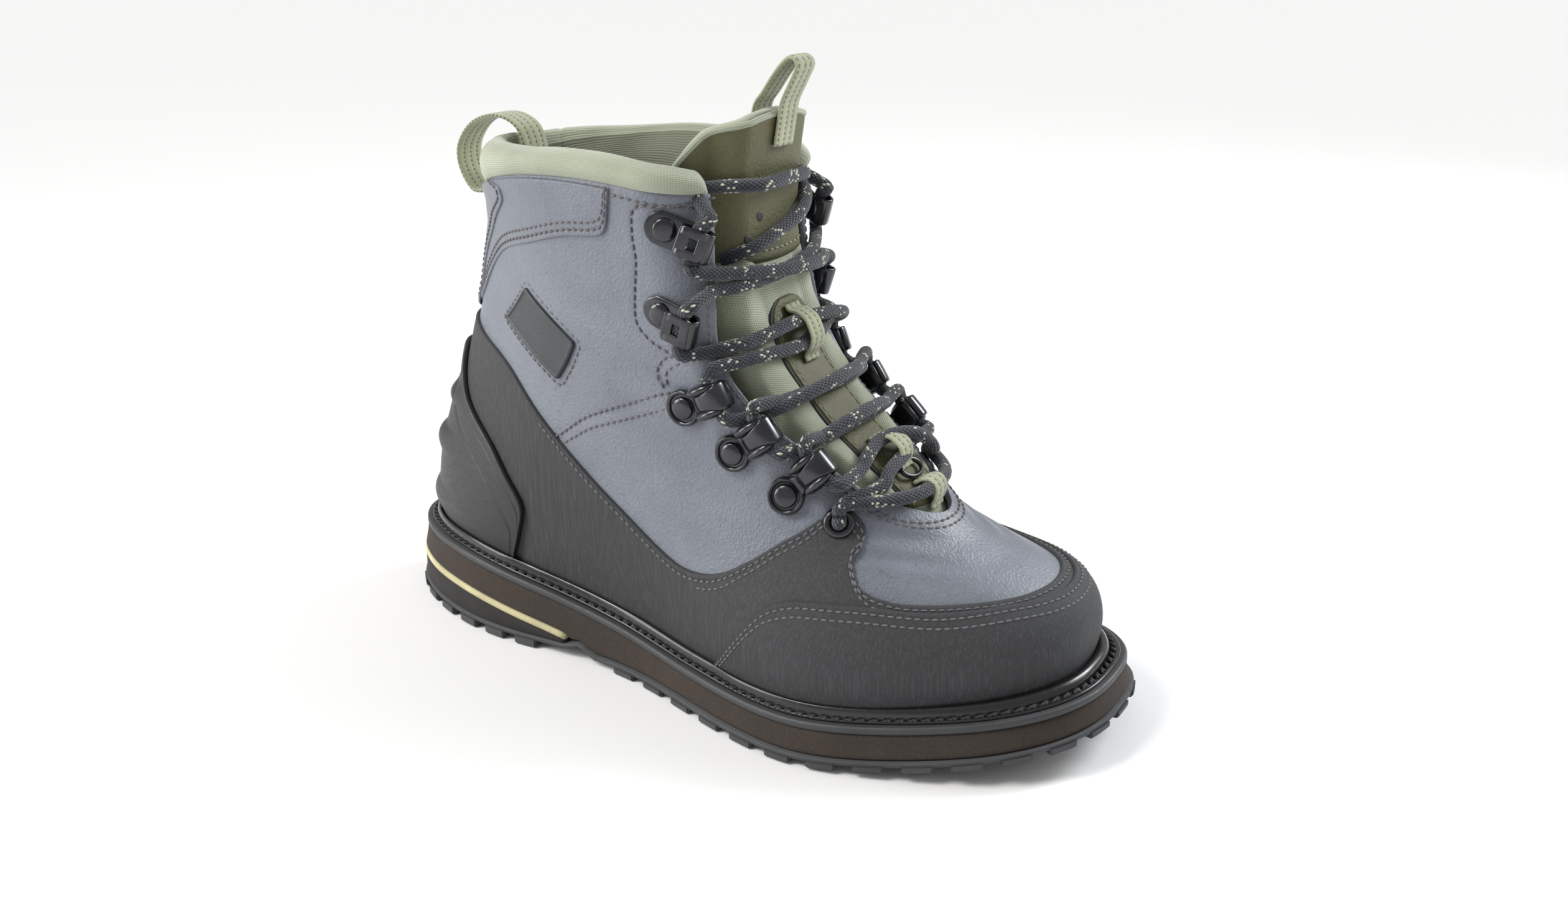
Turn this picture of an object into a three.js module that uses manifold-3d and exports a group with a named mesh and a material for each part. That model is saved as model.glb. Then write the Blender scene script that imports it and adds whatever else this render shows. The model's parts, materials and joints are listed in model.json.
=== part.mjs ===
// Wading boot for the right foot, in millimetres
// +X points to the toe, +Y to the inner side and +Z up, with the origin on the floor below the sole's middle
import * as THREE from "three";
import { mergeVertices } from "three/addons/utils/BufferGeometryUtils.js";
import Module from "manifold-3d";

const wasm = await Module();
wasm.setup();

// Driving sizes
const SOLE_LENGTH = 316;
const BALL_WIDTH = 122;
const HEEL_HEIGHT = 32;
const FORE_HEIGHT = 15.4;
const TOE_SPRING = 12.5;
const UPPER_HEIGHT = 173;
const WALL = 2.4;
const GAP = 0.3;

// Sole sizes
const SLIP_THICK = 3;
const HEEL_DROP = 14;
const STRIPE_THICK = 2.8;
const OUTSOLE_THICK = 4;
const HEEL_OUTSOLE = 5;
const PLATE_THICK = 2;
const BREAST = -52;
const ARCH_END = -36;
const ARCH_RISE = 3;
const LUG_LENGTH = 11;
const LUG_DEPTH = 11;
const LUG_PITCH = 17;
const LUG_OUTSET = 0.9;
const INSOLE_THICK = 4;
const INSOLE_PLAY = 1.4;

// Overlay sizes
const RAND_THICK = 1.4;
const CAP_THICK = 1.3;
const COUNTER_THICK = 1.6;
const PATCH_THICK = 1.1;
const OVERLAY_PLAY = 0.42;
const COLLAR_THICK = 12;
const COLLAR_PLAY = 0.9;
const COLLAR_RISE = 9;
const COLLAR_BACK_RISE = 20;
const TONGUE_THICK = 6;
const TONGUE_EDGE_THICK = 3;
const TONGUE_PLAY = 2;
const TONGUE_DROOP = 2.6;
const PANEL_THICK = 1;
const SEAT = 0.45;

// Strap and metal sizes
const STRAP_THICK = 1.6;
const KEEPER_WIDTH = 12;
const BACK_LOOP_WIDTH = 20;
const TONGUE_LOOP_WIDTH = 18;
const BADGE_THICK = 1.3;
const HOOK_THICK = 1.2;
const HOOK_WIDTH = 11;
const HOOK_HEIGHT = 7.8;
const RIVET_RADIUS = 4.2;
const RIVET_HEIGHT = 2.8;
const EYELET_BORE = 2.9;
const EYELET_FLANGE = 5.6;
const EYELET_SINK = 0.6;
const LACE_RADIUS = 2.5;
const LACE_SIDES = 6;
const LACE_LIFT = 4.7;
const LACE_CLEAR = 2.3;

const HALF = SOLE_LENGTH / 2;
const HALF_BALL = BALL_WIDTH / 2;
const PERCENT = 0.01;
const SIDE_SHIFT = 2.05;

// Outline of the slip sole: along and centre and half in hundredths of the half length and half ball width
const SOLE_TABLE = [
  { along: -100, centre: -4, half: 70.5 },
  { along: -70, centre: -4, half: 70.5 },
  { along: -16, centre: -5, half: 65.5 },
  { along: 40, centre: -4, half: 100 },
  { along: 76, centre: 5, half: 86 },
  { along: 100, centre: 6.5, half: 72 },
];
const SOLE_ROUND = { back: 0.56, backPower: 1.8, front: 0.4, frontPower: 2.6 };

// Levels of the upper from the feather edge to the top edge and on to the tongue's tip, in hundredths:
// back, front and the two rounds of the half length, rises of the upper height, widths of the half ball width
const LEVEL_TABLE = [
  { back: -92.5, front: 91.5, riseBack: 0, riseSide: 0, riseFront: 0, heel: 59, waist: 53, ball: 86, toe: 72, roundBack: 54, roundFront: 39 },
  { back: -93, front: 93, riseBack: 7, riseSide: 7, riseFront: 6.6, heel: 60, waist: 56, ball: 91, toe: 76, roundBack: 53, roundFront: 39 },
  { back: -92, front: 92.5, riseBack: 14.5, riseSide: 14.5, riseFront: 12, heel: 58, waist: 59, ball: 89, toe: 73, roundBack: 51, roundFront: 38 },
  { back: -90.5, front: 90, riseBack: 21, riseSide: 21, riseFront: 16.5, heel: 55, waist: 61, ball: 83, toe: 66, roundBack: 49, roundFront: 37 },
  { back: -88, front: 85, riseBack: 27, riseSide: 26.5, riseFront: 20, heel: 52.5, waist: 62.5, ball: 76, toe: 58, roundBack: 47, roundFront: 37 },
  { back: -85.5, front: 79, riseBack: 33, riseSide: 32, riseFront: 23, heel: 50, waist: 63.5, ball: 70, toe: 50.5, roundBack: 44, roundFront: 38 },
  { back: -82.5, front: 72, riseBack: 39, riseSide: 37, riseFront: 26, heel: 47.5, waist: 64, ball: 64.5, toe: 44, roundBack: 42, roundFront: 38 },
  { back: -80, front: 65, riseBack: 45.5, riseSide: 42, riseFront: 29.8, heel: 46.5, waist: 64, ball: 60.5, toe: 40, roundBack: 40, roundFront: 37 },
  { back: -77.5, front: 59.5, riseBack: 52, riseSide: 48, riseFront: 34.4, heel: 46.5, waist: 64, ball: 57.5, toe: 39, roundBack: 39, roundFront: 34 },
  { back: -75, front: 52.5, riseBack: 58.5, riseSide: 54.5, riseFront: 40, heel: 47, waist: 65, ball: 56, toe: 39, roundBack: 38, roundFront: 31.5 },
  { back: -73, front: 44.5, riseBack: 64, riseSide: 61, riseFront: 45.6, heel: 47.5, waist: 65.5, ball: 56, toe: 39, roundBack: 38, roundFront: 28.5 },
  { back: -71.5, front: 36, riseBack: 69.5, riseSide: 67, riseFront: 51.5, heel: 49, waist: 66.5, ball: 57.5, toe: 39, roundBack: 38, roundFront: 25.5 },
  { back: -70, front: 28.5, riseBack: 74, riseSide: 73.5, riseFront: 58.4, heel: 51.5, waist: 67, ball: 60.5, toe: 39, roundBack: 38, roundFront: 23 },
  { back: -68.5, front: 22, riseBack: 77.5, riseSide: 79.5, riseFront: 66, heel: 55, waist: 69, ball: 64, toe: 39, roundBack: 38, roundFront: 21 },
  { back: -68, front: 18, riseBack: 80, riseSide: 85.5, riseFront: 74.6, heel: 58, waist: 70.5, ball: 67, toe: 39, roundBack: 38, roundFront: 19 },
  { back: -67.5, front: 15.5, riseBack: 82, riseSide: 90.5, riseFront: 83.2, heel: 61.5, waist: 72, ball: 70.5, toe: 39, roundBack: 38, roundFront: 19 },
  { back: -67.5, front: 14.5, riseBack: 83.8, riseSide: 95, riseFront: 92, heel: 64, waist: 74, ball: 72, toe: 39, roundBack: 38, roundFront: 19 },
  { back: -67.5, front: 14.5, riseBack: 85, riseSide: 99, riseFront: 100, heel: 65.5, waist: 75.5, ball: 74, toe: 39, roundBack: 38, roundFront: 19 },
  { back: -67.5, front: 15.5, riseBack: 91, riseSide: 105, riseFront: 108.5, heel: 65.5, waist: 75.5, ball: 74, toe: 39, roundBack: 38, roundFront: 19 },
  { back: -67.5, front: 17, riseBack: 97, riseSide: 111, riseFront: 117, heel: 65.5, waist: 75.5, ball: 74, toe: 39, roundBack: 38, roundFront: 19 },
];
const TOP_LEVEL = 17;
const THROAT_LEVEL = 8;
const TONGUE_TIP_LEVEL = 18.8;
const COLUMNS = Object.keys(LEVEL_TABLE[0]);

// How far each half of the throat stands open, as a share of the way from front to back
const THROAT_TABLE = [
  { level: 8, open: 0.15 },
  { level: 9, open: 0.16 },
  { level: 10, open: 0.2 },
  { level: 11, open: 0.225 },
  { level: 12, open: 0.225 },
  { level: 13, open: 0.205 },
  { level: 14, open: 0.175 },
  { level: 15, open: 0.155 },
  { level: 16, open: 0.145 },
  { level: 17, open: 0.15 },
];

// Edges of the overlays: around runs from 0 at the heel to 1 at the toe, level as in the table above
const RAND_EDGE = [
  { around: 0, level: 7.6 },
  { around: 0.09, level: 7.6 },
  { around: 0.285, level: 7.0 },
  { around: 0.365, level: 5.7 },
  { around: 0.445, level: 4.2 },
  { around: 0.511, level: 3.05 },
  { around: 0.551, level: 3.1 },
  { around: 0.6, level: 4.2 },
  { around: 0.66, level: 5.7 },
  { around: 0.715, level: 7.1 },
  { around: 0.745, level: 7.3 },
  { around: 0.765, level: 6.4 },
  { around: 0.78, level: 4.6 },
  { around: 0.81, level: 3.95 },
  { around: 0.87, level: 3.85 },
  { around: 1, level: 3.9 },
];
const CAP_START = 0.5714;
const CAP_EDGE = [
  { around: 0.5714, level: 0.8 },
  { around: 0.607, level: 2.4 },
  { around: 0.643, level: 3.15 },
  { around: 0.7, level: 3.42 },
  { around: 0.75, level: 3.45 },
  { around: 0.8, level: 3.4 },
  { around: 1, level: 3.5 },
];
const COUNTER_END = 0.325;
const COUNTER_EDGE = [
  { around: 0, level: 7.0 },
  { around: 0.08, level: 6.9 },
  { around: 0.18, level: 5.4 },
  { around: 0.263, level: 4.1 },
  { around: 0.325, level: 2.4 },
];
const PATCH_END = 0.61;
const PATCH_EDGE = [
  { around: 0, level: 9.5 },
  { around: 0.18, level: 10.8 },
  { around: 0.28, level: 12.2 },
  { around: 0.41, level: 13.4 },
  { around: 0.54, level: 14.3 },
  { around: 0.61, level: 15.1 },
];
const PATCH_TOP = 16.75;

// Material of each slot
const FINISHES = {
  outsole: { color: 0x25272a, roughness: 0.8, metalness: 0 },
  midsole: { color: 0x2b2520, roughness: 0.9, metalness: 0 },
  stripe: { color: 0xa39a72, roughness: 0.85, metalness: 0 },
  wedge: { color: 0x1d1c1c, roughness: 0.95, metalness: 0 },
  slip_sole: { color: 0x3a3c3f, roughness: 0.75, metalness: 0 },
  welt: { color: 0x17181a, roughness: 0.45, metalness: 0 },
  insole: { color: 0x3a4038, roughness: 0.95, metalness: 0 },
  upper: { color: 0x545c68, roughness: 0.6, metalness: 0 },
  rand: { color: 0x2c2d30, roughness: 0.7, metalness: 0 },
  counter: { color: 0x222325, roughness: 0.45, metalness: 0 },
  collar: { color: 0x8f9a80, roughness: 0.95, metalness: 0 },
  badge: { color: 0x2a2e33, roughness: 0.5, metalness: 0 },
  tongue: { color: 0x858f74, roughness: 0.95, metalness: 0 },
  olive: { color: 0x4f5138, roughness: 0.6, metalness: 0 },
  webbing: { color: 0x8c9577, roughness: 0.9, metalness: 0 },
  hook: { color: 0x24262a, roughness: 0.35, metalness: 0.8 },
  lace: { color: 0x1c1f27, roughness: 0.9, metalness: 0 },
};

const boot = new THREE.Group();
const finishes = {};

function finishFor(slot) {
  if (!finishes[slot]) finishes[slot] = new THREE.MeshStandardMaterial({ name: slot, ...FINISHES[slot] });
  return finishes[slot];
}

// Every piece is shifted sideways so that the whole boot stands centred on the origin
function add(name, geometry, slot) {
  const mesh = new THREE.Mesh(geometry.translate(0, SIDE_SHIFT, 0), finishFor(slot));
  mesh.name = name;
  boot.add(mesh);
  return mesh;
}

// Curve helpers
const mix = (a, b, share) => a + (b - a) * share;
const clamp = (value, low, high) => Math.min(high, Math.max(low, value));

function ease(share) {
  const t = clamp(share, 0, 1);
  return t * t * (3 - 2 * t);
}

// Smooth curve through a table's column, with its stations in another column
function follow(table, station, column, at) {
  const last = table.length - 1;
  let k = 0;
  while (k < last - 1 && table[k + 1][station] <= at) k += 1;
  const slope = (i) => {
    const before = table[Math.max(0, i - 1)];
    const after = table[Math.min(last, i + 1)];
    return (after[column] - before[column]) / (after[station] - before[station]);
  };
  const step = table[k + 1][station] - table[k][station];
  const t = clamp((at - table[k][station]) / step, 0, 1);
  const start = (2 * t ** 3 - 3 * t ** 2 + 1) * table[k][column] + (t ** 3 - 2 * t ** 2 + t) * step * slope(k);
  const end = (3 * t ** 2 - 2 * t ** 3) * table[k + 1][column] + (t ** 3 - t ** 2) * step * slope(k + 1);
  return start + end;
}

// Straight lines between a table's rows
function connect(table, station, column, at) {
  const last = table.length - 1;
  let k = 0;
  while (k < last - 1 && table[k + 1][station] <= at) k += 1;
  const share = (at - table[k][station]) / (table[k + 1][station] - table[k][station]);
  return mix(table[k][column], table[k + 1][column], clamp(share, 0, 1));
}

// How much of the full width is left near a rounded end
function roundEnd(distance, reach, power) {
  if (distance >= reach) return 1;
  const t = clamp(1 - distance / reach, 0, 1);
  return (1 - t ** power) ** (1 / power);
}

// Heights of the sole
function soleTop(x) {
  const share = (x + HALF) / SOLE_LENGTH;
  const spring = TOE_SPRING * clamp((share - 0.62) / 0.38, 0, 2) ** 2;
  return mix(HEEL_HEIGHT, FORE_HEIGHT, ease((share - 0.12) / 0.43)) + spring;
}

function ground(x) {
  const share = (x + HALF) / SOLE_LENGTH;
  return TOE_SPRING * clamp((share - 0.66) / 0.34, 0, 2) ** 2;
}

function outsoleTop(x) {
  const archShare = clamp((x - BREAST) / (ARCH_END - BREAST), 0, 1);
  const arch = ARCH_RISE * Math.sin(Math.PI * archShare) ** 2;
  const heelShare = 1 - ease((x - BREAST) / (ARCH_END - BREAST));
  return mix(ground(x) + OUTSOLE_THICK, HEEL_OUTSOLE, heelShare) + arch;
}

function outsoleBottom(x) {
  return outsoleTop(x) - PLATE_THICK;
}

function midsoleBottom(x) {
  const heelShare = 1 - ease((x - BREAST) / 6);
  return mix(outsoleTop(x) + GAP, soleTop(x) - HEEL_DROP, heelShare);
}

// Outline of the sole at a share of the way from heel to toe, on the side -1 outer or 1 inner
function outlinePoint(share, side) {
  const along = (1 - Math.cos(Math.PI * share)) / 2;
  const x = -HALF + SOLE_LENGTH * along;
  const station = (x / HALF) / PERCENT;
  const half = follow(SOLE_TABLE, "along", "half", station) * PERCENT * HALF_BALL;
  const centre = follow(SOLE_TABLE, "along", "centre", station) * PERCENT * HALF_BALL;
  const back = roundEnd(x + HALF, SOLE_ROUND.back * HALF, SOLE_ROUND.backPower);
  const front = roundEnd(HALF - x, SOLE_ROUND.front * HALF, SOLE_ROUND.frontPower);
  return new THREE.Vector2(x, centre + side * half * back * front);
}

const shareAt = (x) => Math.acos(1 - (2 * (x + HALF)) / SOLE_LENGTH) / Math.PI;

function evenShares(steps) {
  return Array.from({ length: steps + 1 }, (_, i) => i / steps);
}

// Closed ring of outline points at the given shares of the length, pushed out by a distance
function outlineRing(push, shares) {
  const outer = shares.map((share) => outlinePoint(share, -1));
  const inner = shares.map((share) => outlinePoint(share, 1)).slice(1, -1).reverse();
  const tip = shares.length - 1;
  const cut = shares[tip] < 1;
  const ring = [...outer, ...inner];
  if (cut) ring[tip].y = (outer[tip].y + outlinePoint(shares[tip], 1).y) / 2;
  return pushRing(ring, push, cut ? tip : -1);
}

function pushRing(ring, push, flatAt) {
  const count = ring.length;
  return ring.map((point, i) => {
    if (i === flatAt) return point.clone();
    const run = ring[(i + 1) % count].clone().sub(ring[(i + count - 1) % count]);
    return new THREE.Vector2(point.x + (push * run.y) / run.length(), point.y - (push * run.x) / run.length());
  });
}

// Level curves of the upper
function levelValues(level) {
  const index = clamp(level, 0, LEVEL_TABLE.length - 1);
  const k = Math.min(LEVEL_TABLE.length - 2, Math.floor(index));
  const t = index - k;
  const values = {};
  for (const column of COLUMNS) {
    const at = (i) => LEVEL_TABLE[clamp(i, 0, LEVEL_TABLE.length - 1)][column];
    const inner = (i) => i > 0 && i < LEVEL_TABLE.length - 1;
    const slope = (i) => (at(i + 1) - at(i - 1)) / (inner(i) ? 2 : 1);
    const start = (2 * t ** 3 - 3 * t ** 2 + 1) * at(k) + (t ** 3 - 2 * t ** 2 + t) * slope(k);
    values[column] = (start + (3 * t ** 2 - 2 * t ** 3) * at(k + 1) + (t ** 3 - t ** 2) * slope(k + 1)) * PERCENT;
  }
  return values;
}

// Point on the upper's outer face: around is 0 at the heel and 1 at the toe, negative on the inner side
function skin(level, around) {
  const value = levelValues(level);
  const wrapped = around - 2 * Math.round(around / 2 - Math.sign(around) * 1e-9);
  const side = wrapped < 0 ? 1 : -1;
  const share = Math.abs(wrapped);
  const along = (1 - Math.cos(Math.PI * share)) / 2;
  const back = value.back * HALF;
  const front = value.front * HALF;
  const x = mix(back, front, along);
  const stations = [
    { at: -HALF, width: value.heel },
    { at: -0.7 * HALF, width: value.heel },
    { at: -0.16 * HALF, width: value.waist },
    { at: 0.4 * HALF, width: value.ball },
    { at: 0.76 * HALF, width: value.toe },
    { at: HALF, width: value.toe * 0.85 },
  ];
  const rise = level / TOP_LEVEL;
  const backPower = 1.9;
  const frontPower = 2.5 - 0.4 * ease(rise * 1.6);
  const width = follow(stations, "at", "width", x) * HALF_BALL
    * roundEnd(x - back, value.roundBack * HALF, backPower)
    * roundEnd(front - x, value.roundFront * HALF, frontPower);
  const centre = follow(SOLE_TABLE, "along", "centre", (x / HALF) / PERCENT) * PERCENT * HALF_BALL;
  const lift = value.riseBack * (1 - along) * (1 - 2 * along) + 4 * value.riseSide * along * (1 - along)
    + value.riseFront * along * (2 * along - 1);
  const fade = 1 - 0.75 * ease(rise * 1.3);
  return new THREE.Vector3(x, centre * fade + side * width, soleTop(x) + GAP + lift * UPPER_HEIGHT);
}

// Point pushed out from the upper's outer face, or in with a negative distance, never into the sole
function shell(level, around, push) {
  const point = skin(level, around).addScaledVector(skinNormal(level, around), push);
  point.z = Math.max(point.z, soleTop(point.x) + GAP);
  return point;
}

function skinNormal(level, around) {
  const step = 0.012;
  const rise = skin(Math.min(level + 0.15, LEVEL_TABLE.length - 1), around)
    .sub(skin(Math.max(level - 0.15, 0), around));
  const atHeel = Math.abs(around) < step;
  const run = skin(level, atHeel ? step : around + step).sub(skin(level, atHeel ? -step : around - step));
  const normal = run.cross(rise).normalize();
  return normal;
}

function throatEdge(level) {
  if (level <= THROAT_LEVEL) return 1;
  const rounding = Math.sqrt(clamp((level - THROAT_LEVEL) / 0.9, 0, 1));
  return 1 - connect(THROAT_TABLE, "level", "open", level) * rounding;
}

// Builders of closed meshes
class Faces {
  constructor() {
    this.points = [];
  }

  tri(a, b, c) {
    this.points.push(a, b, c);
  }

  quad(a, b, c, d) {
    this.tri(a, b, c);
    this.tri(a, c, d);
  }

  geometry() {
    const flat = this.points.flatMap((p) => [p.x, p.y, p.z]);
    const raw = new THREE.BufferGeometry();
    raw.setAttribute("position", new THREE.Float32BufferAttribute(flat, 3));
    return tidy(raw);
  }
}

// Merges shared corners, drops faces with no area and turns the faces outwards
function tidy(raw) {
  raw.deleteAttribute("normal");
  raw.deleteAttribute("uv");
  const merged = mergeVertices(raw, 0.002);
  const index = merged.getIndex().array;
  const place = merged.getAttribute("position");
  const kept = [];
  let volume = 0;
  const a = new THREE.Vector3();
  const b = new THREE.Vector3();
  const c = new THREE.Vector3();
  for (let i = 0; i < index.length; i += 3) {
    const [p, q, r] = [index[i], index[i + 1], index[i + 2]];
    if (p === q || q === r || p === r) continue;
    kept.push(p, q, r);
    a.fromBufferAttribute(place, p);
    b.fromBufferAttribute(place, q);
    c.fromBufferAttribute(place, r);
    volume += a.dot(b.cross(c));
  }
  if (volume < 0) {
    for (let i = 0; i < kept.length; i += 3) [kept[i], kept[i + 1]] = [kept[i + 1], kept[i]];
  }
  merged.setIndex(kept);
  merged.computeVertexNormals();
  return merged;
}

// Closed sheet between two grids of points, with a rim on each open side
function sheet(rows, columns, outer, inner, { loop = false, rimFrom = 0 } = {}) {
  const faces = new Faces();
  const grid = (make) => Array.from({ length: rows + 1 }, (_, i) => (
    Array.from({ length: columns + 1 }, (_, j) => make(i, loop ? j % columns : j))));
  const out = grid(outer);
  const into = grid(inner);
  for (let i = 0; i < rows; i += 1) {
    for (let j = 0; j < columns; j += 1) {
      faces.quad(out[i][j], out[i][j + 1], out[i + 1][j + 1], out[i + 1][j]);
      faces.quad(into[i][j], into[i + 1][j], into[i + 1][j + 1], into[i][j + 1]);
    }
    if (loop || i < rimFrom) continue;
    faces.quad(out[i][0], out[i + 1][0], into[i + 1][0], into[i][0]);
    faces.quad(out[i][columns], into[i][columns], into[i + 1][columns], out[i + 1][columns]);
  }
  for (let j = 0; j < columns; j += 1) {
    faces.quad(out[0][j], into[0][j], into[0][j + 1], out[0][j + 1]);
    faces.quad(out[rows][j], out[rows][j + 1], into[rows][j + 1], into[rows][j]);
  }
  return faces.geometry();
}

// Solid of stacked rings, each a list of outline points and a height that depends on x
function stack(levels) {
  const faces = new Faces();
  const rings = levels.map(({ ring, height }) => ring.map((p) => new THREE.Vector3(p.x, p.y, height(p.x))));
  const count = rings[0].length;
  for (let k = 0; k + 1 < rings.length; k += 1) {
    for (let i = 0; i < count; i += 1) {
      const j = (i + 1) % count;
      faces.quad(rings[k][i], rings[k][j], rings[k + 1][j], rings[k + 1][i]);
    }
  }
  const half = count / 2;
  const cap = (ring, flip) => {
    for (let i = 0; i < half; i += 1) {
      const [a, b] = [ring[i], ring[i + 1]];
      const [c, d] = [ring[(count - i - 1) % count], ring[(count - i) % count]];
      if (flip) faces.quad(a, d, c, b);
      else faces.quad(a, b, c, d);
    }
  };
  cap(rings[0], true);
  cap(rings[rings.length - 1], false);
  return faces.geometry();
}

// Booleans
function toSolid(geometry) {
  const merged = tidy(geometry.clone());
  return new wasm.Manifold(new wasm.Mesh({
    numProp: 3,
    vertProperties: new Float32Array(merged.getAttribute("position").array),
    triVerts: new Uint32Array(merged.getIndex().array),
  }));
}

function toGeometry(solid) {
  const mesh = solid.getMesh();
  const raw = new THREE.BufferGeometry();
  raw.setAttribute("position", new THREE.Float32BufferAttribute(mesh.vertProperties, 3));
  raw.setIndex(Array.from(mesh.triVerts));
  return tidy(raw.toNonIndexed());
}

function join(geometries) {
  return toGeometry(wasm.Manifold.union(geometries.map(toSolid)));
}

// Sole
const SOLE_STEPS = 20;
const ARCH_STEPS = 4;
const archShares = evenShares(ARCH_STEPS).map((share) => shareAt(mix(BREAST, ARCH_END, share)));
const plainShares = evenShares(SOLE_STEPS).filter((share) => (
  share < archShares[0] - 0.01 || share > archShares[ARCH_STEPS] + 0.01));
const SOLE_SHARES = [...plainShares, ...archShares].sort((a, b) => a - b);
const HEEL_SHARES = SOLE_SHARES.filter((share) => share <= archShares[0]);

function fullSlab(levels) {
  return stack(levels.map(({ push, height }) => ({ ring: outlineRing(push, SOLE_SHARES), height })));
}

function heelSlab(levels) {
  return stack(levels.map(({ push, height }) => ({ ring: outlineRing(push, HEEL_SHARES), height })));
}

function slipSole() {
  return fullSlab([
    { push: 0.6, height: (x) => soleTop(x) - SLIP_THICK + GAP },
    { push: 0.9, height: (x) => soleTop(x) - 0.8 },
    { push: 0, height: soleTop },
  ]);
}

function midsole() {
  return fullSlab([
    { push: 3.2, height: (x) => midsoleBottom(x) },
    { push: 0.8, height: (x) => soleTop(x) - SLIP_THICK },
  ]);
}

const stripeTop = (x) => soleTop(x) - HEEL_DROP - GAP;
const stripeBottom = (x) => stripeTop(x) - STRIPE_THICK;

function heelStripe() {
  return heelSlab([
    { push: 3.5, height: stripeBottom },
    { push: 3.4, height: stripeTop },
  ]);
}

function heelWedge() {
  return heelSlab([
    { push: 3.4, height: (x) => outsoleTop(x) + GAP },
    { push: 3.2, height: (x) => stripeBottom(x) - GAP },
  ]);
}

// Block between four floor corners, from the ground up into the outsole's plate
function lugBlock(corners) {
  const faces = new Faces();
  const low = corners.map((p) => new THREE.Vector3(p.x, p.y, ground(p.x)));
  const high = corners.map((p) => new THREE.Vector3(p.x, p.y, outsoleBottom(p.x) + PLATE_THICK / 2));
  faces.quad(low[0], low[3], low[2], low[1]);
  faces.quad(high[0], high[1], high[2], high[3]);
  for (let i = 0; i < 4; i += 1) {
    const j = (i + 1) % 4;
    faces.quad(low[i], low[j], high[j], high[i]);
  }
  return faces.geometry();
}

// Lugs round the sole's edge, spaced along the outline, with none under the arch
function edgeLugs(push) {
  const outer = outlineRing(push, evenShares(120));
  const inner = pushRing(outer, -LUG_DEPTH, -1);
  const lugs = [];
  let run = 0;
  let start = 0;
  for (let i = 0; i < outer.length; i += 1) {
    const next = (i + 1) % outer.length;
    run += outer[i].distanceTo(outer[next]);
    if (run < LUG_PITCH) continue;
    let end = i;
    let length = 0;
    while (end > start && length < LUG_PITCH - LUG_LENGTH) {
      length += outer[end].distanceTo(outer[end - 1]);
      end -= 1;
    }
    const span = [outer[start], outer[end], inner[end], inner[start]];
    const clear = span.every((p) => p.x < BREAST || p.x > ARCH_END);
    const oneSide = span.every((p) => p.x < BREAST) || span.every((p) => p.x > ARCH_END);
    if (clear && oneSide) lugs.push(lugBlock(span));
    start = next;
    run = 0;
  }
  return lugs;
}

// Rows of slanted blocks under the heel and the forefoot
function innerLugs() {
  const lugs = [];
  const rows = [
    { from: -122, to: -76, half: 22, across: 2 },
    { from: -14, to: 122, half: 34, across: 2 },
  ];
  const size = 15;
  const pitch = 44;
  for (const { from, to, half, across } of rows) {
    for (let x = from; x <= to; x += pitch) {
      for (let k = 0; k < across; k += 1) {
        const y = mix(-half, half, (k + 0.5) / across) - 2.5;
        const slant = (k % 2 ? -1 : 1) * 4;
        const corners = [[-size / 2 - slant, -size], [size / 2 - slant, -size], [size / 2 + slant, size], [-size / 2 + slant, size]];
        lugs.push(lugBlock(corners.map(([dx, dy]) => new THREE.Vector2(x + dx, y + dy * 0.7))));
      }
    }
  }
  return lugs;
}

function outsole() {
  const push = 4.2;
  const plate = fullSlab([
    { push, height: outsoleBottom },
    { push: push - 0.4, height: outsoleTop },
  ]);
  return join([plate, ...edgeLugs(push + LUG_OUTSET), ...innerLugs()]);
}

add("outsole", outsole(), "outsole");
add("midsole", midsole(), "midsole");
add("heel_stripe", heelStripe(), "stripe");
add("heel_wedge", heelWedge(), "wedge");
add("slip_sole", slipSole(), "slip_sole");

// Upper: one hollow wall, open at the collar, down the throat and underneath
const BASE_LEVELS = [0, 1, 2, 3, 4, 5, 6, 7, 8];
const OPEN_LEVELS = [8.2, 8.8, 9.7, 10.8, 12.2, 13.8, 15.4, 17];
const UPPER_LEVELS = [...BASE_LEVELS, ...OPEN_LEVELS];
const EXTRA_SHARES = [0.607, 0.75, 0.77];
const SIDE_SHARES = [...evenShares(14), ...EXTRA_SHARES].sort((a, b) => a - b);
const ROUND_SHARES = [...SIDE_SHARES.slice(1).map((share) => -share).reverse(), ...SIDE_SHARES];

function upper() {
  const around = (i, j) => throatEdge(UPPER_LEVELS[i]) * ROUND_SHARES[j];
  return sheet(
    UPPER_LEVELS.length - 1,
    ROUND_SHARES.length - 1,
    (i, j) => shell(UPPER_LEVELS[i], around(i, j), 0),
    (i, j) => shell(UPPER_LEVELS[i], around(i, j), -WALL),
    { rimFrom: BASE_LEVELS.length - 1 },
  );
}

function insole() {
  const count = 2 * SOLE_STEPS;
  const ring = [];
  for (let i = 0; i < count; i += 1) {
    const around = (2 * i) / count;
    const p = shell(0, around, -WALL - INSOLE_PLAY);
    ring.push(new THREE.Vector2(p.x, p.y));
  }
  return stack([
    { ring, height: (x) => soleTop(x) + GAP },
    { ring, height: (x) => soleTop(x) + GAP + INSOLE_THICK },
  ]);
}

add("insole", insole(), "insole");
add("upper", upper(), "upper");

// Overlays laid on the upper between two distances from its outer face, on the upper's own columns
function columnsBetween(from, to) {
  const all = [...ROUND_SHARES, ...SIDE_SHARES.slice(0, -1).map((share) => 2 - share).reverse()];
  const inside = all.filter((share) => share > from + 0.01 && share < to - 0.01);
  return [from, ...inside, to];
}

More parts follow.
